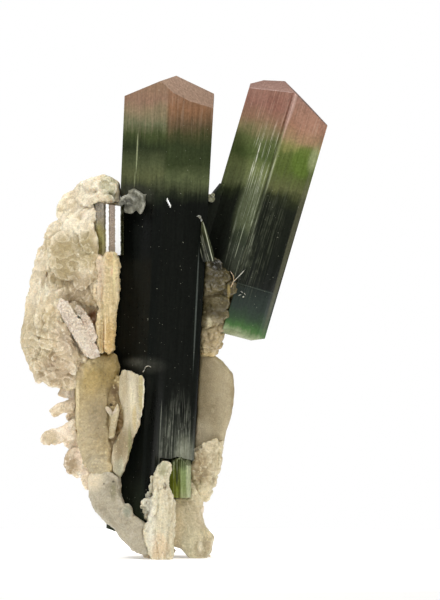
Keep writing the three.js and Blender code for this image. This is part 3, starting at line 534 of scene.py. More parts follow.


# The thin wedge of tourmaline in the gap between the two: green-grey, with a painted highlight where it is
# thin.
# It grew by itself, leaning the other way.
SHORT_EDGE = 0.08  # mm, the width of the blunted edges of the three short crystals
sliver_material = zoned_tourmaline(
    "thin_green_tourmaline", lean=math.radians(-14), foot=(6.4, -7.2, 58.5), ridge=0.4,
    left=[(0, "#151711"), (4, "#1A1E14"), (9, "#3B3E2F")],
    right=[(0, "#1D2015"), (5, "#2E331B"), (9, "#53553D")],
    clear=[(0, "#0A0A0A"), (9, "#31312F")],
    spots=[
        # a painted highlight along its right edge, then a paler line and a darker middle
        ((1.35, 0, 4), (0.1, 6, 5), "#C3C6AD", 0.8),
        ((-0.5, 0, 6), (0.15, 6, 3), "#7A7C66", 0.7),
        ((0.3, 0, 3.8), (0.8, 6, 4.4), "#16180F", 0.8, 1.0),
    ],
    hairline_glints=[((0, 0, 4), (4, 6, 8), "#868874", 0.5, 0.56)],
)
sliver = crisp_crystal("sliver_tourmaline", "sliver", SHORT_EDGE)
place_piece(sliver, sliver_material, "sliver_tourmaline")


# The short clear crystal on the left: colourless to mauve above and olive below, so clear that its faces
# show as white and mauve bands side by side. Here the mauve bands are clear, and the white ones are
# painted highlights, opaque white in its colour.
CLEAR_RAGGED = 0.025  # share of its width, how far a band's edge strays
CLEAR_RAGS_PER_MM = 2.4  # how many such strays lie side by side in a millimetre
# its white bands are painted highlights, opaque white where its faces shine
CLEAR_BANDS = [  # share of its width from the left, colour
    (0.0, "#DCD6C8"), (0.05, "#E8E0D1"), (0.3, "#E4DBC6"), (0.34, "#6A6450"), (0.37, "#7A745C"),
    (0.39, "#FFFFFF"), (0.48, "#FFFFFF"), (0.5, "#A89A80"), (0.54, "#EEDCCC"), (0.66, "#ECD9C9"),
    (0.69, "#B5A78F"), (0.71, "#FFFFFF"), (0.88, "#FFFFFF"), (0.9, "#3B4228"), (1.0, "#2E3420"),
]
CLEAR_DEPTH = [  # the same share, how clear it looks there, black for not at all
    (0.0, "#DADADA"), (0.37, "#DADADA"), (0.39, "#000000"), (0.48, "#000000"), (0.5, "#DADADA"),
    (0.69, "#DADADA"), (0.71, "#000000"), (0.88, "#000000"), (0.9, "#DADADA"),
]
clear_low, clear_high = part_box("clear_tourmaline")
clear_material = bpy.data.materials.new("clear_banded_tourmaline")
clear_material.use_nodes = True
clear_shader = clear_material.node_tree.nodes["Principled BSDF"]
clear_where = add_node(clear_material, "ShaderNodeTexCoord")
clear_mm = add_node(
    clear_material, "ShaderNodeMapping",
    {"Scale": (TO_MM, TO_MM, TO_MM), "Location": [-TO_MM * c for c in clear_low]},
    {"Vector": clear_where.outputs["Object"]},
).outputs[0]
clear_axes = add_node(clear_material, "ShaderNodeSeparateXYZ", {}, {0: clear_mm})
clear_share = add_node(
    clear_material, "ShaderNodeMath", {"operation": "DIVIDE", 1: TO_MM * (clear_high[0] - clear_low[0])},
    {0: clear_axes.outputs["X"]},
)
clear_rags = add_node(
    clear_material, "ShaderNodeTexNoise", {"Scale": CLEAR_RAGS_PER_MM, "Detail": 1.0}, {"Vector": clear_mm},
)
clear_shift = add_node(
    clear_material, "ShaderNodeMath",
    {"operation": "MULTIPLY_ADD", 1: 2 * CLEAR_RAGGED, 2: -CLEAR_RAGGED}, {0: clear_rags.outputs[0]},
)
clear_across = add_node(
    clear_material, "ShaderNodeMath", {"operation": "ADD"},
    {0: clear_share.outputs[0], 1: clear_shift.outputs[0]},
)
clear_bands = add_node(
    clear_material, "ShaderNodeValToRGB", {"stops": CLEAR_BANDS}, {"Fac": clear_across.outputs[0]},
)
clear_colour = spot(
    clear_material, clear_bands.outputs[0], clear_mm, (0.9, 2, 2.8), (1.2, 9, 3.6), "#D6CF78", 0.9, 1.0,
)
clear_material.node_tree.links.new(clear_colour, clear_shader.inputs["Base Color"])
clear_depth = add_node(
    clear_material, "ShaderNodeValToRGB", {"stops": CLEAR_DEPTH}, {"Fac": clear_across.outputs[0]},
)
clear_material.node_tree.links.new(clear_depth.outputs[0], clear_shader.inputs["Transmission Weight"])
clear_shader.inputs["Roughness"].default_value = 0.06
clear_shader.inputs["IOR"].default_value = 1.63
clear_inside = add_node(
    clear_material, "ShaderNodeVolumeAbsorption", {"Color": hex_linear("#D9C6C6"), "Density": 50.0},
)
clear_material.node_tree.links.new(
    clear_inside.outputs[0], clear_material.node_tree.nodes["Material Output"].inputs["Volume"],
)
clear_prism = crisp_crystal("clear_tourmaline", "clear_prism", SHORT_EDGE)
place_piece(clear_prism, clear_material, "clear_tourmaline")


# The short green crystal that stands against the foot of the tall prism: olive on the left, blue-green on
# the right, with a dark stripe between.
STUB_RISE = 0.9 * MM  # its top stands this much higher than the solid's
stub_material = zoned_tourmaline(
    "green_stub_tourmaline", lean=0.0, foot=(0.8, -7.3, 12.1), ridge=0.3,
    left=[(0, "#7B8339"), (2, "#6B7524"), (5, "#596214"), (6.4, "#363B14"), (7.6, "#24280F")],
    right=[(0, "#91956B"), (2, "#7D8A55"), (5, "#728053"), (6.4, "#4B5435"), (7.6, "#31371F")],
    clear=[(0, "#464646"), (7.6, "#464646")],
    spots=[((-0.3, -2, 5), (0.3, 5, 2.6), "#32381F", 0.85), ((2.0, -2, 4), (0.5, 5, 5), "#A5AA88", 0.7)],
    hairline_glints=[((0, -2, 4), (3, 5, 5), "#BBC396", 0.4, 0.56)], cap="#43482C",
)
green_stub = crisp_crystal("green_tourmaline", "green_stub", SHORT_EDGE)
stub_top = max(corner.co.z for corner in green_stub.data.vertices)
bpy.ops.object.mode_set(mode="EDIT")
bpy.ops.mesh.select_all(action="DESELECT")
bpy.ops.object.mode_set(mode="OBJECT")
for corner in green_stub.data.vertices:
    corner.select = corner.co.z > stub_top - MM
bpy.ops.object.mode_set(mode="EDIT")
bpy.ops.transform.translate(value=(0, 0, STUB_RISE))
bpy.ops.object.mode_set(mode="OBJECT")
place_piece(green_stub, stub_material, "green_tourmaline")


# The big rosette of cleavelandite on the left: thin curved plates of white albite grown over each other,
# cream with olive-tan faces and a sugary grain. Its plates stand a little proud of one another.
BAND_PERIOD = 0.3628  # of the wood texture, in its own units
CUT_LEVEL = 0.01 * MM  # the height of the flat cut below the specimen
# Right of this, and between these heights, a loose flake would hide the clear crystal or the yellow blade
FREE_FROM_X = -15.4 * MM
FREE_LOW, FREE_HIGH = 56 * MM, 68 * MM
ROSETTE_PLATES = [
    # x, z, half width, half height in mm, lean of its face to the left and to the top, lift, turn
    (-28.2, 44.0, 1.6, 4.2, -0.5, 0.1, 0.1), (-28.6, 49.2, 1.4, 4.2, -0.6, 0.0, 0.1),
    (-27.4, 54.4, 1.3, 3.8, -0.6, 0.1, 0.1), (-26.2, 59.0, 1.5, 3.6, -0.5, 0.2, 0.1),
    (-26.4, 48.0, 1.3, 4.4, 0.5, 0.0, 0.2), (-25.6, 53.4, 1.2, 3.6, 0.4, 0.1, 0.2),
    (-24.4, 43.4, 2.6, 1.6, 0.1, 0.3, 0.0, 0.4), (-21.8, 41.6, 1.6, 1.2, -0.3, -0.2, 0.1, -0.5),
    (-26.4, 38.8, 2.0, 1.1, 0.2, 0.3, 0.1, 0.7), (-20.8, 38.6, 0.8, 2.0, -0.3, 0.2, 0.1, 0.5),
    (-22.8, 36.6, 1.8, 0.9, 0.1, -0.3, 0.1, 0.3), (-18.2, 42.6, 0.6, 2.6, 0.4, 0.2, 0.2, 0.6),
    (-23.4, 40.2, 1.2, 0.4, 0.0, 0.4, 0.1, 0.6), (-25.0, 36.8, 1.4, 0.4, 0.0, 0.3, 0.1, -0.4),
    (-21.4, 60.4, 3.6, 5.2, 0.25, 0.1, 0.3), (-18.2, 58.2, 2.2, 5.0, -0.3, 0.1, 0.2),
    (-17.4, 64.6, 1.6, 3.8, 0.3, 0.2, 0.2), (-24.0, 64.0, 1.8, 3.2, -0.5, 0.3, 0.1),
    (-20.8, 69.0, 2.8, 3.0, 0.3, 0.3, 0.2), (-17.2, 71.6, 2.2, 1.6, -0.3, 0.4, 0.2),
    (-15.2, 74.0, 1.0, 1.2, 0.4, 0.2, 0.3, 0.5), (-13.4, 74.6, 0.9, 1.1, 0.2, 0.3, 0.3, -0.4),
    (-12.6, 73.2, 0.8, 1.2, -0.3, 0.2, 0.2, -0.2), (-14.4, 72.4, 1.0, 0.9, 0.2, -0.2, 0.3),
    (-21.4, 52.6, 2.2, 1.4, 0.2, -0.5, 0.2), (-24.0, 57.4, 1.4, 3.4, 0.6, 0.0, 0.2),
    (-15.4, 53.4, 1.0, 3.0, -0.5, 0.0, 0.1), (-13.6, 71.4, 1.6, 0.8, 0.0, -0.5, 0.3),
]


def flake(place, axis, half_width, half_height, seed, spin=0.0, thickness=0.4):
    """A thin plate that faces along an axis: a disc drawn out, with a shaken rim. Its place is in metres, its
    size in millimetres."""
    bpy.ops.object.select_all(action="DESELECT")
    bpy.ops.mesh.primitive_cylinder_add(vertices=16, radius=MM, depth=thickness * MM)
    plate = bpy.context.object
    bpy.ops.object.mode_set(mode="EDIT")
    bpy.ops.mesh.select_all(action="SELECT")
    bpy.ops.transform.vertex_random(offset=0.1 * MM, seed=seed)
    bpy.ops.object.mode_set(mode="OBJECT")
    plate.scale = (half_width, half_height, 1)
    bpy.ops.object.transform_apply(location=False, rotation=False, scale=True)
    plate.rotation_euler = (0, 0, spin)
    bpy.ops.object.transform_apply(location=False, rotation=True, scale=False)
    plate.rotation_euler = axis.to_track_quat("Z", "Y").to_euler()
    plate.location = place
    bpy.ops.object.transform_apply(location=True, rotation=True, scale=False)
    return plate


SUNK = 0.12  # how deep a flake's middle is set, as a share of its half width


def scattered(piece, count, smallest, largest, seed, steepest):
    """Flakes set into a piece's skin at random, each leaning out of it, so that one edge stands proud. Their
    half widths are in millimetres."""
    draw = random.Random(seed)
    faces = piece.data.polygons
    corners = piece.data.vertices
    chosen = draw.choices(range(len(faces)), weights=[face.area for face in faces], k=count)
    plates = []
    for number, index in enumerate(chosen):
        a, b, c = (corners[v].co for v in faces[index].vertices[:3])
        u, v = sorted((draw.random(), draw.random()))
        place = a * u + b * (v - u) + c * (1 - v)
        normal = faces[index].normal
        lean = Vector([draw.uniform(-1, 1) for _ in range(3)]).normalized() * draw.uniform(0.2, steepest)
        size = draw.uniform(smallest, largest)
        half_height = size * draw.uniform(0.55, 1.0)
        sunk = place - normal * SUNK * size * MM
        plates.append(flake(sunk, normal + lean, size, half_height, seed + number, draw.uniform(0, 3)))
    return plates


def set_in_front(pieces, plates, seed, thickness=0.4):
    """Flakes on whichever of the pieces is in front, each where the list says in X and Z, leaning the way it
    says and turned by the angle that may end its entry."""
    made = []
    for number, (x, z, half_width, half_height, to_left, to_top, lift, *spin) in enumerate(plates):
        looks = [piece.ray_cast(Vector((x * MM, -0.1, z * MM)), Vector((0, 1, 0))) for piece in pieces]
        depths = [place.y for hit, place, _, _ in looks if hit]
        if depths:
            place = Vector((x * MM, min(depths) - lift * MM, z * MM))
            axis = Vector((to_left, -1, to_top))
            turn = spin[0] if spin else 0.0
            made.append(flake(place, axis, half_width, half_height, seed + number, turn, thickness))
    return made


def join_to(piece, others):
    """Makes other pieces part of one."""
    only(piece)
    for other in others:
        other.select_set(True)
    bpy.ops.object.join()


def relief(piece, kind, size, height, stretch=(1, 1, 1), toward=None, near=None, level=0.5, **settings):
    """Raises and sinks the surface by a pattern of a given size and height, both in millimetres. The pattern
    can be turned so that its bands step toward a direction, and kept near a place given as middle and
    reach."""
    pattern = bpy.data.textures.new(piece.name + "_" + kind.lower(), kind)
    pattern.noise_scale = 1.0
    for key, value in settings.items():
        setattr(pattern, key, value)
    bpy.ops.object.empty_add(location=[m * MM for m in near[0]] if near else (0, 0, 0))
    guide = bpy.context.object
    if toward:
        guide.rotation_euler = Vector((1, 1, 1)).rotation_difference(Vector(toward)).to_euler()
    guide.scale = [size * MM * share for share in stretch]
    bpy.context.view_layer.update()
    group = ""
    if near:
        middle, reach = near
        group = piece.vertex_groups.new(name="near").name
        centre = [m / r for m, r in zip(middle, reach)]
        for corner in piece.data.vertices:
            away = math.dist([c / MM / r for c, r in zip(corner.co, reach)], centre)
            share = max(0.0, min(1.0, 3 - 2 * away))  # whole at the reach, and none at half as far again
            piece.vertex_groups[group].add([corner.index], share, "REPLACE")
    modify(
        piece, "DISPLACE", texture=pattern, texture_coords="OBJECT", texture_coords_object=guide,
        strength=height * MM, mid_level=level, vertex_group=group,
    )
    piece.vertex_groups.clear()
    bpy.data.objects.remove(guide)


def lamellae(piece, period, height, toward, waver=10.0, near=None):
    """The stepped edges of thin plates laid one over the other, which face toward a direction."""
    relief(
        piece, "WOOD", period / BAND_PERIOD, height, toward=toward, near=near, wood_type="BANDNOISE",
        noise_basis_2="SAW", turbulence=waver,
    )


def sugar(piece, grain, height, near=None):
    """Rounded grains over the surface, like sugar."""
    relief(piece, "VORONOI", grain, -height, level=0.4, near=near)


def grow_together(piece, voxel, soften=2, swell=0.15):
    """Makes a solid and the plates that overlap it one fine skin, swollen a little so that it meets what it
    grew against."""
    modify(piece, "REMESH", mode="VOXEL", voxel_size=voxel * MM)
    if soften:
        modify(piece, "SMOOTH", factor=0.6, iterations=soften)
    if swell:
        modify(piece, "DISPLACE", strength=swell * MM, mid_level=0.0)


def finish_albite(piece, soften=2):
    """Rounds the relief off, cuts the piece off flat where it would reach under the table, and shades it
    smooth."""
    modify(piece, "SMOOTH", factor=0.5, iterations=soften)
    only(piece)
    if min(corner.co.z for corner in piece.data.vertices) < 2 * CUT_LEVEL:
        bpy.ops.object.mode_set(mode="EDIT")
        bpy.ops.mesh.select_all(action="SELECT")
        bpy.ops.mesh.bisect(
            plane_co=(0, 0, CUT_LEVEL), plane_no=(0, 0, -1), use_fill=True, clear_outer=True, threshold=1e-7,
        )
        bpy.ops.object.mode_set(mode="OBJECT")
    bpy.ops.object.shade_smooth_by_angle(angle=math.radians(50))


# How many of each pattern's features lie side by side in a millimetre, in albite of the usual grain
PATCHES_PER_MM = 0.22
FLECKS_PER_MM = 0.9
SUGAR_PER_MM = 3.2
PLATES_PER_MM = 0.26
SPECKS_PER_MM = 1.9
CRYSTALS_PER_MM = 2.4
PLATE_STEPS = 6.5  # thin plates from the lowest to the highest value of their noise
BUMP_HEIGHT = 0.12 * MM  # of the grains and the thin plates, in shading alone


def albite(name, plain, shade, light, rim, hollow_shade_and_stain, spots=(), grain=1.0, specks=0.25, roughness=0.55,
           transmission=0.0, subsurface=0.5, streaks=(1, 1, 1), plates=1.0):
    """Cleavelandite: white albite with a sugary grain. Its colour drifts between a plain tone, a shade and a
    light one. It has painted highlights on thin rims and toward each thin plate's rim, painted shade at each
    plate's foot, and painted shade with a brown stain in the hollows, and dark grains lie in it. Each of the
    spots, its stains, painted shade and painted highlights, is what spot() takes. It lets a little light in."""
    material = bpy.data.materials.new(name)
    material.use_nodes = True
    shader = material.node_tree.nodes["Principled BSDF"]
    where = add_node(material, "ShaderNodeTexCoord")
    place = add_node(
        material, "ShaderNodeMapping", {"Scale": (TO_MM, TO_MM, TO_MM)}, {"Vector": where.outputs["Object"]},
    ).outputs[0]
    drawn = add_node(material, "ShaderNodeMapping", {"Scale": streaks}, {"Vector": place}).outputs[0]
    patches = add_node(
        material, "ShaderNodeTexNoise", {"Scale": PATCHES_PER_MM, "Detail": 3.0}, {"Vector": drawn},
    )
    flecks = add_node(
        material, "ShaderNodeTexNoise", {"Scale": FLECKS_PER_MM, "Detail": 4.0, "Roughness": 0.6},
        {"Vector": drawn},
    )
    sugary = add_node(
        material, "ShaderNodeTexNoise", {"Scale": SUGAR_PER_MM / grain, "Detail": 3.0, "Roughness": 0.7},
        {"Vector": place},
    )
    # Thin plates laid one over the other: steps along the contours of a slow noise, each with painted shade
    # at its foot and a painted highlight toward its rim
    slow = add_node(
        material, "ShaderNodeTexNoise", {"Scale": PLATES_PER_MM, "Detail": 4.0, "Roughness": 0.45},
        {"Vector": drawn},
    )
    levels = add_node(
        material, "ShaderNodeMath", {"operation": "MULTIPLY", 1: PLATE_STEPS}, {0: slow.outputs[0]},
    )
    step = add_node(material, "ShaderNodeMath", {"operation": "FRACT"}, {0: levels.outputs[0]})
    shaded = add_node(
        material, "ShaderNodeMapRange", {"From Min": 0.4, "From Max": 0.62}, {"Value": patches.outputs[0]},
    )
    colour = add_node(
        material, "ShaderNodeMix", {"data_type": "RGBA", 6: hex_linear(plain), 7: hex_linear(shade)},
        {0: shaded.outputs[0]},
    ).outputs[2]
    colour = tinted(material, colour, flecks.outputs[0], start=0.48, full=0.68, most=0.8, code=light)
    for area in spots:
        colour = spot(material, colour, place, *area)
    colour = mottled(
        material, colour, step.outputs[0], start=0.0, full=1.0,
        darkest=1 - 0.09 * plates, lightest=1 + 0.07 * plates,
    )
    colour = tinted(material, colour, step.outputs[0], start=0.6, full=1.0, most=0.2 * plates, code=rim)
    # Painted highlights on its edges, and painted shade with a brown stain in its hollows, where the surface
    # turns out and in
    bend = add_node(material, "ShaderNodeNewGeometry").outputs["Pointiness"]
    colour = tinted(material, colour, bend, start=0.525, full=0.61, most=0.6, code=rim)
    colour = tinted(material, colour, bend, start=0.47, full=0.37, most=0.3, code=hollow_shade_and_stain)
    colour = mottled(material, colour, sugary.outputs[0], start=0.3, full=0.7, darkest=0.78, lightest=1.2)
    dark = add_node(
        material, "ShaderNodeTexNoise", {"Scale": SPECKS_PER_MM, "Detail": 1.0}, {"Vector": place},
    )
    colour = tinted(material, colour, dark.outputs[0], start=0.7, full=0.78, most=specks, code="#5A4A33")
    crystals = add_node(
        material, "ShaderNodeTexVoronoi", {"Scale": CRYSTALS_PER_MM / grain}, {"Vector": place},
    )
    coarse = add_node(
        material, "ShaderNodeBump", {"Strength": 0.6, "Distance": BUMP_HEIGHT * grain},
        {"Height": crystals.outputs[0]},
    )
    fine = add_node(
        material, "ShaderNodeBump", {"Strength": 0.6, "Distance": BUMP_HEIGHT * grain},
        {"Height": sugary.outputs[0], "Normal": coarse.outputs[0]},
    )
    stepped = add_node(
        material, "ShaderNodeBump", {"Strength": min(1.0, 0.6 * plates), "Distance": BUMP_HEIGHT},
        {"Height": step.outputs[0], "Normal": fine.outputs[0]},
    )
    links = material.node_tree.links
    links.new(colour, shader.inputs["Base Color"])
    links.new(stepped.outputs[0], shader.inputs["Normal"])
    shader.inputs["Roughness"].default_value = roughness
    shader.inputs["IOR"].default_value = 1.53
    shader.inputs["Transmission Weight"].default_value = transmission
    shader.inputs["Subsurface Weight"].default_value = subsurface
    shader.inputs["Subsurface Radius"].default_value = (1.0, 0.8, 0.6)
    shader.inputs["Subsurface Scale"].default_value = 0.5 * MM
    return material


rosette_material = albite(
    "cream_sugary_cleavelandite", "#E0D1B3", "#C4B189", "#F1E7CE", "#F8F3E0", "#8F734F",
    spots=[
        ((-21.6, -6, 59), (3.2, 8, 5.8), "#A59367", 0.85, 0.9),
        ((-17.4, -6, 62.2), (1.7, 8, 3.8), "#AB996C", 0.85, 0.7),
        ((-18.6, -6, 53.6), (3.4, 8, 3.6), "#A69170", 0.75, 1.0),
        ((-20.8, -6, 43.6), (3.4, 8, 3), "#B59E80", 0.7, 1.0),
        ((-23, -6, 37.6), (6, 8, 3.6), "#AA9271", 0.7, 1.2),
        ((-16.3, -6, 47.8), (1.1, 8, 1.6), "#845834", 0.9),
        ((-20.8, -6, 51.0), (0.6, 8, 0.5), "#A78B68", 0.6, 1.2),
        ((-22.4, -6, 48.4), (0.25, 8, 0.7), "#A68868", 0.6, 1.2),
        ((-21.7, -6, 47.4), (0.2, 8, 0.7), "#A68868", 0.6, 1.2),
        ((-22.9, -6, 47.0), (0.2, 8, 0.5), "#A68868", 0.5, 1.2),
        ((-24.8, -6, 38.4), (1.2, 8, 0.4), "#866847", 0.6),
        ((-24.2, -6, 40), (1.4, 8, 0.9), "#8E7551", 0.6, 1.2),
        ((-20, -6, 66.4), (3, 8, 2.6), "#EDE3CA", 0.7, 1.2),
        ((-27.4, -6, 53), (1.6, 8, 7), "#E8DCC2", 0.6, 1.2),
        ((-28.6, -6, 43), (3.4, 12, 6), "#BFAE8A", 0.8, 1.2),
        ((-17.6, -6, 73.2), (2.6, 8, 2.6), "#EFE7D4", 0.5, 1.2),
        ((-13.2, -6, 74.4), (1.7, 8, 2.2), "#B4AF8E", 0.8),
        ((-12.4, -6, 72.2), (0.7, 8, 1.0), "#797A5B", 0.7),
        ((-17.6, -8, 61.4), (2.4, 9, 3.0), "#A9986C", 0.55, 1.2),
        ((-17.8, -8, 68.8), (1.6, 9, 2.2), "#E8DCC8", 0.5, 1.2),
        ((-26.8, -8, 44.4), (2.0, 9, 2.6), "#C0B090", 0.35, 1.2),
    ],
    roughness=0.45, plates=1.2,
)
rosette = fresh_copy("left_rosette", "rosette")
loose = []
for plate in scattered(rosette, count=36, smallest=0.8, largest=2.6, seed=7, steepest=0.25):
    places = [corner.co for corner in plate.data.vertices]
    hides_another = any(c.x > FREE_FROM_X and FREE_LOW < c.z < FREE_HIGH for c in places)
    if hides_another:
        bpy.data.objects.remove(plate)
    else:
        loose.append(plate)
join_to(rosette, set_in_front([rosette], ROSETTE_PLATES, seed=40) + loose)
grow_together(rosette, voxel=0.19, soften=4)
relief(rosette, "CLOUDS", size=3.6, height=1.0, level=0.45)
relief(rosette, "CLOUDS", size=1.0, height=0.2, level=0.4)
relief(rosette, "CLOUDS", size=0.5, height=0.12, level=0.4)
relief(rosette, "CLOUDS", size=1.3, height=0.8, near=((-14.5, -6, 73.5), (3, 9, 3)))
lamellae(rosette, period=1.5, height=0.35, toward=(-1, -0.2, 0.15), near=((-27, -4, 54), (3.6, 8, 12)))
lamellae(rosette, period=1.6, height=0.25, toward=(-0.7, -0.2, 0.7), near=((-18, -4, 70), (4.5, 8, 5)))
lamellae(rosette, period=1.1, height=0.25, toward=(-0.85, -0.2, -0.53), near=((-17.5, -4, 54), (4.4, 8, 6)))
lamellae(
    rosette, period=1.5, height=0.4, toward=(-0.6, -0.2, -0.8), waver=12.0, near=((-24, -4, 40), (6.5, 8, 6)),
)
finish_albite(rosette)
place_piece(rosette, rosette_material, "left_rosette")


# The two lilac-white blades that cross the rosette like a Y: thin tapering plates crusted with fine grains.
CUT_DEPTH = 16.0  # mm, right through any of the blades


def cut_out(piece, place, half_width, half_height, seed, turn=0.0):
    """Cuts a hollow into the outline of a blade, as seen from the front. Its place and size are in
    millimetres."""
    cutter = flake(Vector(place) * MM, Vector((0, -1, 0)), half_width, half_height, seed, turn, CUT_DEPTH)
    modify(piece, "BOOLEAN", operation="DIFFERENCE", object=cutter)
    bpy.data.objects.remove(cutter)


finger_material = albite(
    "lilac_white_cleavelandite", "#D6C9B5", "#C7B6A3", "#E1D6C7", "#EBE4D3", "#8D7459",
    spots=[
        ((-22.4, -8, 50.2), (1.0, 9, 1.4), "#DDD0BD", 0.7, 1.0),
        ((-18.8, -8, 49.3), (1.0, 9, 1.3), "#9E8B74", 0.7, 1.0),
        ((-17.6, -8, 47.0), (0.6, 9, 1.2), "#C5B29D", 0.6, 1.0),
    ],
    specks=0.4, grain=0.7, plates=0.6,
)
fingers = fresh_copy("finger_blades", "finger_blades_skin")
# The gap between the two blades where they part, and the hollow right side of the second
cut_out(fingers, (-19.75, -8, 49.1), 0.26, 2.3, seed=3, turn=0.62)
cut_out(fingers, (-16.45, -8, 49.1), 1.2, 3.0, seed=5, turn=0.72)
grow_together(fingers, voxel=0.1, soften=1, swell=0.05)
lamellae(fingers, period=0.8, height=0.15, toward=(0.75, -0.3, 0.6), waver=8.0)
relief(fingers, "CLOUDS", size=0.8, height=0.5, level=0.45)
sugar(fingers, grain=0.5, height=0.4)
finish_albite(fingers, soften=1)
place_piece(fingers, finger_material, "finger_blades")


# The yellow double blade beside the tall prism: two thin plates seen on edge, the right one with a scalloped
# rim, stained yellow by iron.
upright_material = albite(
    "yellow_stained_cleavelandite", "#CDB98C", "#BFA471", "#D8C7A0", "#E2D4B4", "#8E6735",
    spots=[
        ((-14.9, -7, 57), (1.2, 8, 7), "#DECAB0", 0.8, 1.0),
        ((-13.8, -7, 62.8), (1.8, 8, 2.0), "#DDCDB2", 0.7, 1.2),
        ((-13.0, -7, 44), (1.3, 8, 4.4), "#C2A05F", 0.7, 1.0),
        ((-11.9, -7, 57), (0.3, 8, 5), "#E0D29C", 0.7),
        ((-12.4, -7, 57), (0.25, 8, 1.0), "#D2A284", 0.6),
        ((-14.0, -7, 44.2), (0.14, 8, 3.6), "#8A6330", 0.8),
        ((-13.7, -7, 46.6), (0.14, 8, 3.0), "#E6D6B2", 0.7),
        ((-14.7, -7, 44.4), (0.3, 8, 3.0), "#B8975A", 0.6),
    ],
    grain=1.2, specks=0.4, streaks=(1, 1, 0.35),
)
UPRIGHT_TEETH = [(-11.9, 63.2 - 1.5 * i, 0.35, 0.5, 0, 0, 0.1) for i in range(11)] + [
    # the ragged top, and what closes the gap to the rosette
    (-14.6, 63.8, 0.3, 0.8, 0, 0, 0.1), (-13.6, 64.2, 0.3, 0.5, 0, 0, 0.1),
    (-12.6, 63.9, 0.4, 0.6, 0, 0, 0.1), (-15.3, 61.0, 0.5, 2.4, 0.6, 0, 0.0),
    (-15.3, 53.0, 0.7, 2.0, 0.6, 0, 0.0),
]
UPRIGHT_HOLLOWS = [  # x, z, half width, half height in mm, turn: what its outline lacks
    (-15.95, 49.7, 0.9, 1.4, 0.0), (-16.0, 57.0, 0.7, 0.9, 0.0), (-11.0, 45.2, 1.0, 4.0, -0.15),
]
upright = fresh_copy("upright_blade", "upright_blade_skin")
join_to(upright, set_in_front([upright], UPRIGHT_TEETH, seed=21))
for x, z, half_width, half_height, turn in UPRIGHT_HOLLOWS:
    cut_out(upright, (x, -8, z), half_width, half_height, seed=23, turn=turn)
grow_together(upright, voxel=0.11, soften=1)
lamellae(upright, period=1.1, height=0.1, toward=(1, -0.3, 0.1), waver=4.0)
relief(upright, "CLOUDS", size=1.2, height=0.6, level=0.35)
relief(upright, "CLOUDS", size=0.5, height=0.3, level=0.4)
sugar(upright, grain=0.6, height=0.25)
finish_albite(upright)
place_piece(upright, upright_material, "upright_blade")


# The broad plate, lower left: a thick plate with a round olive-yellow top, grey-tan and sugary below, with a
# brown hollow on its right. Painted shade darkens its right side and the hollow, and painted highlights run
# along its left rim and top.
broad_material = albite(
    "olive_tan_cleavelandite", "#AC986C", "#96845C", "#BCAB82", "#D3C499", "#6C5027",
    spots=[
        # dark spots on its right and in the hollow are partly painted shade; pale ones on its left rim are
        # painted highlights
        ((-13.2, -8, 37.4), (2.6, 8, 4.4), "#856F36", 0.8, 1.0),
        ((-16.8, -8, 36), (2, 8, 3), "#AE975C", 0.7, 1.0),
        ((-15.0, -8, 28.6), (2.2, 8, 3.4), "#857759", 0.7, 1.2),
        ((-18.2, -8, 22), (2, 8, 5), "#AEA080", 0.7, 1.2),
        ((-15.4, -8, 18.6), (2.4, 8, 2.6), "#ABA187", 0.7, 1.0),
        ((-11.9, -8, 33.6), (0.8, 8, 1.2), "#583C10", 0.85),
        ((-11.6, -8, 31.4), (1.3, 8, 1.2), "#7E6841", 0.8),
        ((-12.6, -8, 30.6), (0.3, 8, 0.3), "#2D2311", 0.9),
        ((-11.2, -8, 26.4), (1.1, 8, 3.6), "#8E6F41", 0.8),
        ((-12, -8, 22.8), (1, 8, 3.6), "#593D0B", 0.7, 1.0),
        ((-15.9, -8, 39.0), (2.4, 8, 1.4), "#CBB988", 0.45, 1.2),
        ((-19.3, -8, 31), (0.35, 8, 6), "#DFD1AA", 0.7, 1.2),
        ((-17.9, -8, 25), (0.9, 8, 5), "#BBAA83", 0.6, 1.0),
        ((-18.9, -8, 37.2), (0.9, 8, 1.8), "#D9C8A2", 0.7, 1.0),
        ((-17.2, -8, 39.2), (1.4, 8, 0.6), "#D6C8A0", 0.6, 1.0),
        ((-17, -8, 24), (3, 8, 5), "#AD9E7F", 0.5, 1.4),
        ((-12.7, -8, 32.9), (0.8, 9, 1.8), "#7A6642", 0.4, 1.2),
    ],
    grain=1.3, specks=0.6, plates=0.3,
)
BROAD_SWELLS = [
    # its left rim, and what closes the gap to the pale plate
    (-18.6, 19.8, 0.6, 2.2, 0.5, -0.2, 0.0), (-11.2, 24.0, 0.8, 2.6, -0.3, 0.0, -0.2),
    (-11.0, 30.0, 0.8, 1.6, -0.3, 0.0, -0.2), (-11.2, 34.6, 0.8, 1.6, -0.3, 0.0, -0.2),
    (-11.8, 31.6, 0.9, 0.8, 0.2, 0.5, 0.0),
    # what rounds its face toward the left rim, and its lower end over the lower plate
    (-17.1, 32.4, 1.8, 5.0, 0.0, 0.0, 0.2), (-17.0, 26.0, 1.8, 4.6, 0.0, 0.0, 0.2),
    (-16.6, 21.0, 1.6, 2.8, 0.0, 0.0, 0.2), (-14.6, 18.1, 2.3, 1.5, -0.3, -0.2, 0.4),
]
BROAD_SHOULDER = [
    (-18.2, 36.8, 1.0, 2.0, -0.3, 0.3, 0.0, -0.35), (-17.2, 38.2, 1.3, 1.2, -0.1, 0.4, 0.0, -0.5),
]
broad = fresh_copy("broad_plate", "broad_plate_skin")
join_to(broad, set_in_front([broad], BROAD_SWELLS, seed=31, thickness=0.8))
join_to(broad, set_in_front([broad, rosette], BROAD_SHOULDER, seed=37, thickness=0.8))
grow_together(broad, voxel=0.16, soften=20)
relief(broad, "CLOUDS", size=3.2, height=0.6, level=0.3)
relief(broad, "CLOUDS", size=0.7, height=0.25, level=0.4)
sugar(broad, grain=0.8, height=0.4, near=((-16, -8, 22), (5, 9, 7)))
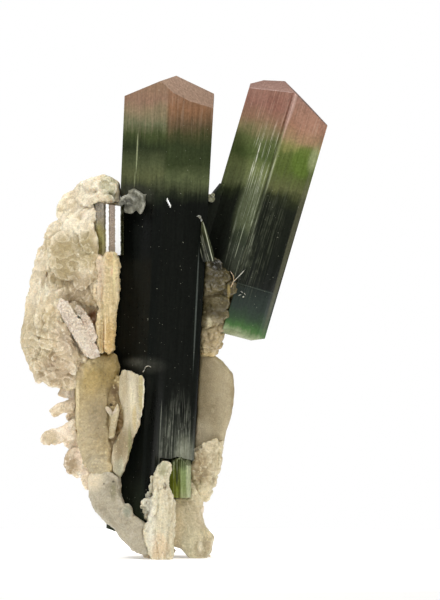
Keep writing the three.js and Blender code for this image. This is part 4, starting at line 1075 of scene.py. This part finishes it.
sugar(broad, grain=0.7, height=0.4, near=((-11.4, -8, 28), (1.2, 9, 8)))
lamellae(broad, period=2.4, height=0.15, toward=(-1, -0.3, 0.5), waver=8.0, near=((-16, -8, 20), (4, 9, 6)))
finish_albite(broad)
place_piece(broad, broad_material, "broad_plate")


# The pale plate in front of the tall prism, and the small blade in the hollow beside it: smooth creamy
# cleavage plates with faint bands down their length, scalloped at the top and yellow along the right rim.
pale_material = albite(
    "creamy_banded_cleavelandite", "#BFB398", "#B0A385", "#C8BFAB", "#CFC6A4", "#7B6446",
    spots=[
        ((-6.6, -9, 33.6), (0.5, 8, 5), "#B0A370", 0.8),
        ((-8.3, -9, 32.6), (0.7, 8, 4), "#DAD0B4", 0.9, 1.2),
        ((-9.9, -9, 34.2), (0.5, 8, 3), "#AD9C7A", 0.7, 1.0),
        ((-7.9, -9, 28), (0.5, 8, 2.6), "#C4B285", 0.8),
        ((-10.6, -9, 22.6), (1.3, 8, 3.6), "#85724E", 0.8, 1.0),
        ((-9.2, -9, 24.0), (1.2, 8, 2.4), "#8E7C58", 0.7, 1.2),
        ((-8.7, -9, 23.2), (0.35, 8, 1.8), "#6C6344", 0.8),
        ((-10.6, -9, 18.2), (0.5, 8, 2.2), "#B9BBA0", 0.6),
        ((-6.1, -9, 34), (0.14, 8, 1.9), "#F4EDD4", 0.9),
        ((-6.2, -9, 31), (0.14, 8, 1.9), "#F4EDD4", 0.9),
        ((-6.5, -9, 28), (0.16, 8, 1.9), "#F4EDD4", 0.9),
        ((-8.9, -9, 22.4), (0.4, 8, 4.4), "#827F50", 0.7),
        ((-11.2, -9, 18), (0.9, 8, 1.6), "#9B967D", 0.8),
        ((-10.2, -8, 22.4), (1.2, 9, 3.0), "#8A7C5C", 0.35, 1.2),
    ],
    grain=0.7, specks=0.15, roughness=0.42, streaks=(1.8, 1, 0.15), plates=0.5,
)
PALE_SCALLOPS = [(-10.6 + 0.8 * i, 37.0 - 0.27 * i, 0.3, 0.62, 0, 0, 0) for i in range(6)] + [
    (-6.45 - 0.13 * i, 35.0 - 1.1 * i, 0.34, 0.42, 0, 0, 0) for i in range(8)
]
pale = fresh_copy("pale_plate", "pale_plate_skin")
# The step in its right rim, low down
cut_out(pale, (-7.3, -9, 23.4), 1.05, 1.4, seed=13)
join_to(pale, set_in_front([pale], PALE_SCALLOPS, seed=37))
grow_together(pale, voxel=0.1, soften=1)
lamellae(pale, period=1.2, height=0.12, toward=(1, -0.3, 0.1), waver=3.0)
relief(pale, "CLOUDS", size=0.9, height=0.35, level=0.3)
finish_albite(pale, soften=1)
place_piece(pale, pale_material, "pale_plate")

inner_material = albite(
    "inner_blade_cleavelandite", "#B9AB8A", "#A79874", "#C6BB9D", "#CBC3A5", "#79613E",
    spots=[((-12.6, -8, 29.6), (1.2, 8, 0.9), "#C7BAA9", 0.8)], grain=0.7, roughness=0.45,
)
INNER_TIPS = [(-12.9, 29.3, 0.35, 1.1, 0, 0, 0.5, 0.7), (-12.3, 28.4, 0.35, 0.9, 0, 0, 0.5, 0.5)]
inner = fresh_copy("inner_blade", "inner_blade_skin")
join_to(inner, set_in_front([broad], INNER_TIPS, seed=5))
grow_together(inner, voxel=0.09, soften=1)
relief(inner, "CLOUDS", size=0.7, height=0.35)
finish_albite(inner)
place_piece(inner, inner_material, "inner_blade")


# The blades that stick out at the left like fingers: pinkish white and sugary, the longest with a flat
# olive-tan end.
side_material = albite(
    "pinkish_sugary_cleavelandite", "#E2D2BB", "#CEBB9B", "#F3E9D5", "#F7EFE1", "#9D7953",
    spots=[
        ((-24.8, -3, 24), (1.6, 8, 1.8), "#B8A580", 0.7),
        ((-21, -3, 18.6), (2, 8, 2), "#947C56", 0.7),
        ((-17.5, -3, 22), (2.4, 8, 5), "#EAD6C4", 0.5),
    ],
)
FLAT_END = [(-25.4, 23.9, 1.3, 1.5, -0.2, 0.1, 0.0, -0.25), (-24.2, 24.6, 1.4, 1.2, -0.1, 0.1, 0.0)]
side = fresh_copy("side_blades", "side_blades_skin")
flat_end = set_in_front([side], FLAT_END, seed=43)
join_to(side, flat_end + scattered(side, count=8, smallest=0.3, largest=0.7, seed=41, steepest=0.3))
grow_together(side, voxel=0.14, soften=2, swell=0.02)
lamellae(side, period=1.1, height=0.12, toward=(-0.3, -0.3, 0.9), waver=8.0)
relief(side, "CLOUDS", size=1.4, height=0.4, level=0.4)
sugar(side, grain=0.8, height=0.12)
finish_albite(side)
place_piece(side, side_material, "side_blades")


# The curved plate under the foot of the tall prism: pale greyish cream and smoother than the rest, with a
# bluish clear lump where it meets the prism.
lower_material = albite(
    "greyish_cream_cleavelandite", "#A69D87", "#958C76", "#B1A895", "#BCB3A0", "#6F5E42",
    spots=[
        # painted lighter at its upper left, to lift the shade that the broad plate casts there
        ((-16.2, -5, 15.8), (2.4, 8, 2.4), "#DBCDB1", 0.8, 1.0),
        ((-12.1, -6, 13.6), (0.7, 8, 2.2), "#6F6A45", 0.7, 1.0),
        ((-9.4, -6, 9.4), (1.2, 8, 1.6), "#7A7F6C", 0.8),
        ((-12.1, -6, 15.4), (0.3, 8, 0.25), "#382D1C", 0.8),
        ((-14.0, -6, 14.9), (0.2, 8, 0.2), "#554630", 0.8),
    ],
    grain=1.1, specks=0.4, roughness=0.5, plates=0.4,
)
BLUISH_LUMP = [(-9.4, 9.0, 1.1, 1.3, 0.2, 0.3, 0.2), (-10.0, 7.8, 0.8, 0.8, -0.2, 0.2, 0.2)]
lower = fresh_copy("lower_plate", "lower_plate_skin")
join_to(lower, set_in_front([lower], BLUISH_LUMP, seed=47))
grow_together(lower, voxel=0.16, soften=6)
lamellae(lower, period=1.6, height=0.15, toward=(-0.8, -0.3, -0.5), waver=8.0)
relief(lower, "CLOUDS", size=2.2, height=0.5, level=0.3)
relief(lower, "CLOUDS", size=0.7, height=0.3, level=0.4)
sugar(lower, grain=0.8, height=0.1)
finish_albite(lower)
place_piece(lower, lower_material, "lower_plate")


# The tall grainy blade in front at the bottom: pinkish cream, ridged from top to bottom, with dark grains.
# It is a thick blade of albite that grew up from the foot of the others.
front_material = albite(
    "pinkish_grainy_cleavelandite", "#CEC4A8", "#BCAF90", "#D9D4BC", "#DFDCC8", "#785B3A",
    spots=[
        ((-3, -12, 2.6), (1.8, 8, 2.8), "#CFB794", 0.7),
        ((-2.2, -12, 18), (1.2, 8, 1.6), "#9A9674", 0.8),
        ((-5.4, -12, 11.6), (0.8, 8, 3.4), "#A9A899", 0.7, 1.0),
        ((-4.6, -12, 7), (0.9, 8, 5), "#D6D1C1", 0.8, 1.0),
        ((-1.9, -12, 14.6), (0.35, 8, 0.8), "#604D2B", 0.8),
    ],
    grain=1.1, specks=0.6, streaks=(1.4, 1, 0.3),
)
FRONT_TUFT = [  # small flakes along its upper left rim
    (-4.3, 15.6, 0.3, 0.8, 0.3, 0, 0.1), (-4.6, 14.0, 0.35, 0.8, 0.3, 0, 0.1),
    (-5.1, 12.6, 0.4, 0.7, 0.3, 0, 0.1), (-5.9, 11.4, 0.5, 0.35, 0.3, 0, 0.1, 0.4),
    (-6.1, 10.4, 0.5, 0.3, 0.3, 0, 0.1, 0.3), (-5.7, 9.6, 0.5, 0.6, 0.3, 0, 0.1),
    (-5.4, 8.6, 0.5, 0.8, 0.3, 0, 0.1), (-5.3, 12.6, 0.4, 0.3, 0.3, 0, 0.2, 0.5),
]
front = fresh_copy("front_blade", "front_blade_skin")
# Its right rim draws in below the top
cut_out(front, (-0.3, -12, 14.6), 1.0, 2.2, seed=3, turn=0.25)
tuft = set_in_front([front, main_prism, lower], FRONT_TUFT, seed=57)
join_to(front, tuft + scattered(front, count=8, smallest=0.4, largest=1.0, seed=53, steepest=0.3))
grow_together(front, voxel=0.12, soften=1)
lamellae(front, period=1.5, height=0.14, toward=(1, -0.3, 0.15), waver=6.0)
relief(front, "CLOUDS", size=1.0, height=0.5, level=0.35)
sugar(front, grain=0.6, height=0.3)
finish_albite(front)
place_piece(front, front_material, "front_blade")


# The smooth tan plate right of the tall prism: one cleavage plate of albite seen flat on. It grew from the
# matrix along the prism's right face.
right_material = albite(
    "smooth_tan_cleavelandite", "#A39472", "#8F805F", "#AFA181", "#C3B694", "#6A5939",
    spots=[
        ((5, -4, 36), (2.2, 8, 9), "#7D6E4C", 0.7, 1.2),
        ((9.8, -4, 29), (1.4, 8, 8), "#ADA082", 0.5, 1.0),
        ((5.4, -4, 25), (2.6, 8, 2.4), "#BEB091", 0.7, 1.0),
    ],
    grain=0.7, specks=0.12, roughness=0.5, subsurface=0.2, plates=0.15,
)
right = fresh_copy("right_plate", "right_plate_skin")
grow_together(right, voxel=0.19, soften=5)
relief(right, "CLOUDS", size=3.0, height=0.5, level=0.3)
finish_albite(right)
place_piece(right, right_material, "right_plate")


# The brown lumps under the leaning crystal: glassy albite with a greasy shine, stained dark brown. They grew
# round its lower end and hold it.
BROWN_LUMPS = [
    (9.8, 50.8, 1.1, 1.2, -0.2, 0.1, -0.2), (9.8, 48.6, 1.0, 1.0, -0.2, -0.1, -0.2),
    (9.2, 46.4, 1.0, 1.2, -0.2, 0.0, -0.2), (6.4, 46.6, 0.9, 0.7, 0.1, 0.3, -0.2),
    (11.3, 53.8, 1.2, 1.2, 0.2, 0.1, -0.2), (8.6, 54.4, 1.4, 1.2, 0.1, 0.3, -0.3),
    (7.6, 43.6, 1.4, 1.4, -0.3, 0.2, -0.2), (6.6, 42.4, 0.9, 0.7, 0.2, -0.1, -0.2),
    (8.8, 42.4, 0.6, 0.6, -0.2, 0, -0.1), (5.8, 40.2, 1.5, 1.2, 0.2, -0.1, -0.2),
    (8.0, 57.6, 1.5, 2.0, 0.1, 0.2, -0.3), (9.8, 55.8, 1.2, 0.8, -0.2, 0.4, -0.1),
]
brown_material = albite(
    "greasy_brown_albite", "#564D32", "#463E24", "#695F3F", "#8D845F", "#282210",
    spots=[
        # the golden line at its right edge and the pale places low in the middle are painted glints
        ((7.3, -3, 56.2), (1.5, 8, 0.9), "#423C29", 0.6, 1.0),
        ((6.6, -3, 52.6), (2.2, 8, 1.6), "#8A7E5E", 0.6, 1.2),
        ((6.2, -3, 48.9), (2.2, 8, 0.7), "#42381F", 0.8, 1.0),
        ((6.6, -3, 46.0), (2.0, 8, 1.8), "#A09673", 0.8, 1.6),
        ((8.0, -3, 42), (4.4, 8, 4.4), "#B6A37D", 0.9, 1.2),
        ((10.8, -3, 53), (0.3, 8, 1.6), "#AB975B", 0.6),
        ((8.6, -3, 58.6), (1.6, 8, 1.5), "#1E1D15", 0.9, 1.0),
        ((5.9, -3, 39.6), (2.6, 8, 1.6), "#D4BC89", 0.8, 1.2),
        ((6.9, -3, 46.9), (0.5, 8, 0.9), "#DBD2AF", 0.6, 1.2),
    ],
    grain=0.8, specks=0.15, roughness=0.25, subsurface=0.4, plates=0.4,
)
brown = fresh_copy("brown_lump", "brown_lump_skin")
join_to(brown, set_in_front([brown], BROWN_LUMPS, seed=61, thickness=1.0))
grow_together(brown, voxel=0.15, soften=9)
relief(brown, "CLOUDS", size=1.7, height=0.5, level=0.3, noise_depth=3)
sugar(brown, grain=0.7, height=0.3)
relief(brown, "CLOUDS", size=0.8, height=0.6, level=0.35, near=((7.6, -3, 44), (4, 9, 3.4)))
finish_albite(brown)
place_piece(brown, brown_material, "brown_lump")


# The rough glittering mass and the smooth pillar below the right plate, which carry the right side: albite
# grown as small plates in the mass and as one blade in the pillar.
foot_material = albite(
    "rough_tan_cleavelandite", "#C2B494", "#AFA07F", "#D3C9AC", "#E0D8BD", "#79633F",
    spots=[
        ((4.6, -4, 18.4), (2.8, 8, 3.2), "#907D57", 0.85, 1.2),
        ((6.8, -4, 17.0), (0.5, 8, 2.6), "#C9BA96", 0.6, 1.2),
        ((5.6, -4, 16.0), (1.8, 8, 1.0), "#A5916B", 0.6, 1.2),
        ((5.0, -4, 12.6), (2.4, 8, 2.0), "#D6C9A6", 0.8, 1.2),
        ((2.8, -4, 3), (1.6, 8, 6), "#D2CCAD", 0.6, 1.2),
        ((8.8, -4, 20), (0.6, 8, 4), "#C9BB98", 0.7),
        ((5.6, -4, 22), (2.2, 8, 0.3), "#D1C3A3", 0.9),
        # painted lighter on its pillar's left, to lift the front blade's shadow there
        ((1.0, -4, 9), (0.9, 8, 5), "#D4C59F", 0.7, 1.0),
        ((3.2, -4, 8), (1.4, 8, 4), "#BFB18E", 0.6, 1.2),
        ((6.6, -4, 5.0), (0.8, 8, 1.4), "#DFD1A7", 0.5, 1.2),
        ((5.0, -4, 4.4), (1.2, 8, 1.4), "#E3D8B4", 0.5, 1.2),
        ((5.0, -4, 2.2), (0.5, 8, 1.2), "#F6EDD2", 0.6, 1.2),
    ],
    grain=1.2, specks=0.3, roughness=0.4,
)
FOOT_PLATES = [
    # the ledge along its top, the wing at its lower right, and the plates between
    (3.4, 20.8, 0.9, 0.3, 0.1, 0.9, 0.3, 0.5), (4.8, 21.6, 1.0, 0.3, 0.1, 0.9, 0.4, 0.3),
    (6.4, 22.6, 1.0, 0.35, 0.1, 0.9, 0.4, 0.5), (7.6, 23.6, 0.6, 0.5, -0.2, 0.6, 0.3),
    (8.8, 20.4, 0.4, 2.4, -0.5, 0.1, 0.1), (7.8, 16.0, 0.4, 1.8, -0.5, -0.1, 0.1),
    (4.6, 18.4, 0.9, 1.0, 0.3, 0.3, 0.1), (6.2, 15.6, 0.5, 1.4, -0.3, 0.3, 0.1, -0.6),
    (5.6, 12.6, 1.4, 1.4, 0.2, -0.1, 0.0), (6.6, 4.6, 0.6, 1.4, -0.3, 0.2, 0.1, 0.6),
    (5.0, 2.2, 0.5, 1.0, 0.3, 0.0, 0.1, 0.3),
]
foot = fresh_copy("right_foot", "right_foot_skin")
ledges = set_in_front([foot], FOOT_PLATES, seed=67)
join_to(foot, ledges + scattered(foot, count=10, smallest=0.4, largest=0.8, seed=67, steepest=0.2))
grow_together(foot, voxel=0.16, soften=4)
lamellae(foot, period=1.6, height=0.3, toward=(0.8, -0.3, 0.5), near=((6, -4, 17), (4.5, 9, 7)))
relief(foot, "CLOUDS", size=1.8, height=0.4, level=0.3)
relief(foot, "CLOUDS", size=0.7, height=0.5, level=0.4, near=((6, -4, 17), (4.5, 9, 7)))
finish_albite(foot)
place_piece(foot, foot_material, "right_foot")


# The small grey lump on the left edge of the tall prism: nearly clear albite, frosted on its skin. It grew
# there by itself.
grey_material = albite(
    "frosted_clear_albite", "#A09D8B", "#737362", "#D0CEBC", "#FFFDEB", "#424335",
    spots=[((-9.3, -8, 70.6), (1.2, 9, 1.0), "#545447", 0.7)],
    grain=0.8, specks=0.1, roughness=0.3, transmission=0.45, subsurface=0.0,
)
GREY_PLATES = [(-11.2, 70.5, 1.2, 0.5, 0.2, 0.3, 0.2, 0.2), (-10.0, 71.6, 1.0, 0.4, 0.2, 0.5, 0.3, -0.3)]
grey = fresh_copy("albite_crystal", "grey_lump")
join_to(grey, set_in_front([grey, main_prism], GREY_PLATES, seed=71))
grow_together(grey, voxel=0.11, swell=0.05)
relief(
    grey, "WOOD", size=5.0, height=0.7, stretch=(1, 40, 1), near=((-9.2, -8, 70.6), (4, 9, 4)),
    wood_type="RINGNOISE", noise_basis_2="SIN", turbulence=4.0,
)
relief(grey, "CLOUDS", size=0.5, height=0.25)
finish_albite(grey)
place_piece(grey, grey_material, "albite_crystal")


# Fine albite that grew on last: a pale lump and a few grains in the gap between the two tall crystals, and a
# curl on the tall prism; and thin golden and grey slivers in the crack at the broken end of the leaning one,
# set there as painted glints along it.
LAST_GRAINS = [
    # x, z, half width, half height in mm, lean of its face to the left and to the top, lift, turn
    # the pale lump
    (7.0, 71.9, 0.85, 0.75, 0.1, 0.1, 0.3), (7.3, 71.7, 0.7, 0.8, -0.1, 0.2, 0.3),
    (7.6, 72.4, 0.4, 0.4, 0.1, 0.2, 0.3),
    # the needles: thin slivers that stand for glints along the crack
    (12.85, 56.2, 0.08, 1.85, 0, 0, 0.2, -0.76), (11.4, 56.7, 0.08, 0.6, 0, 0, 0.2, 0.6),
    (11.75, 55.8, 0.09, 0.6, 0, 0, 0.2, 0.1), (11.5, 54.6, 0.09, 0.8, 0, 0, 0.2, -0.4),
    (13.4, 53.0, 0.07, 0.35, 0, 0, 0.1, 0.9), (13.0, 52.4, 0.07, 0.3, 0, 0, 0.1, -1.2),
    (14.0, 52.6, 0.07, 0.3, 0, 0, 0.1, 0.5), (13.7, 52.0, 0.15, 0.15, 0, 0, 0.1, 0.1),
    # the grains in the gap
    (5.0, 67.9, 0.3, 0.3, 0.2, 0.2, 0.1), (5.3, 67.4, 0.16, 0.45, 0, 0, 0.1, 0.3),
    (4.7, 68.1, 0.3, 0.12, 0, 0, 0.1, 0.3),
    # the curl
    (-6.1, 37.3, 0.08, 0.35, 0, 0, 0.06, -0.6), (-5.8, 37.9, 0.08, 0.35, 0, 0, 0.06, -0.5),
    (-5.4, 38.25, 0.35, 0.08, 0, 0, 0.06, 0.3), (-4.9, 38.2, 0.3, 0.08, 0, 0, 0.06, -0.4),
]
grains_material = albite(
    "albite_grains_and_crack_glints", "#BDB6A4", "#9E9884", "#D3CDBE", "#E2DDD0", "#6E6654", grain=0.6,
    spots=[
        # the golden and grey tints on the needles are painted glints
        ((7.1, -3, 71.8), (1.6, 12, 1.2), "#8E8E69", 0.9),
        ((11.6, -3, 55), (0.7, 12, 2.6), "#B9935A", 0.8),
        ((-5.5, -3, 38), (1.4, 12, 1.2), "#8E8C80", 0.8),
        ((13.5, -3, 52.6), (1.3, 12, 1.2), "#7D8074", 0.9),
        ((5.0, -3, 67.8), (0.9, 12, 0.9), "#6F736B", 0.9),
    ],
)
late = set_in_front([main_prism, leaning_prism, sliver, brown], LAST_GRAINS, seed=5)
grains = late[0]
join_to(grains, late[1:])
grains.name = "late_grains"
grow_together(grains, voxel=0.06, soften=1, swell=0.0)
relief(grains, "CLOUDS", size=0.4, height=0.15)
finish_albite(grains, soften=1)
grains.data.materials.clear()
grains.data.materials.append(grains_material)
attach(grains, "root")


# The matrix behind: overlapping cleavelandite plates that everything else grew from, cut off flat below.
# From the front it is mostly hidden.
matrix_material = albite(
    "rough_cream_cleavelandite", "#D2C2A6", "#B9A684", "#E3D6BE", "#EDE3CE", "#7F6443", grain=1.2,
)
matrix = fresh_copy("cleavelandite_base", "matrix")
join_to(matrix, scattered(matrix, count=90, smallest=1.4, largest=3.4, seed=83, steepest=0.45))
grow_together(matrix, voxel=0.32, soften=1)
relief(matrix, "CLOUDS", size=3.0, height=1.0, level=0.45)
lamellae(matrix, period=2.2, height=0.7, toward=(-0.6, 0.5, 0.6), waver=16.0)
sugar(matrix, grain=1.2, height=0.35)
finish_albite(matrix)
place_piece(matrix, matrix_material, "cleavelandite_base")
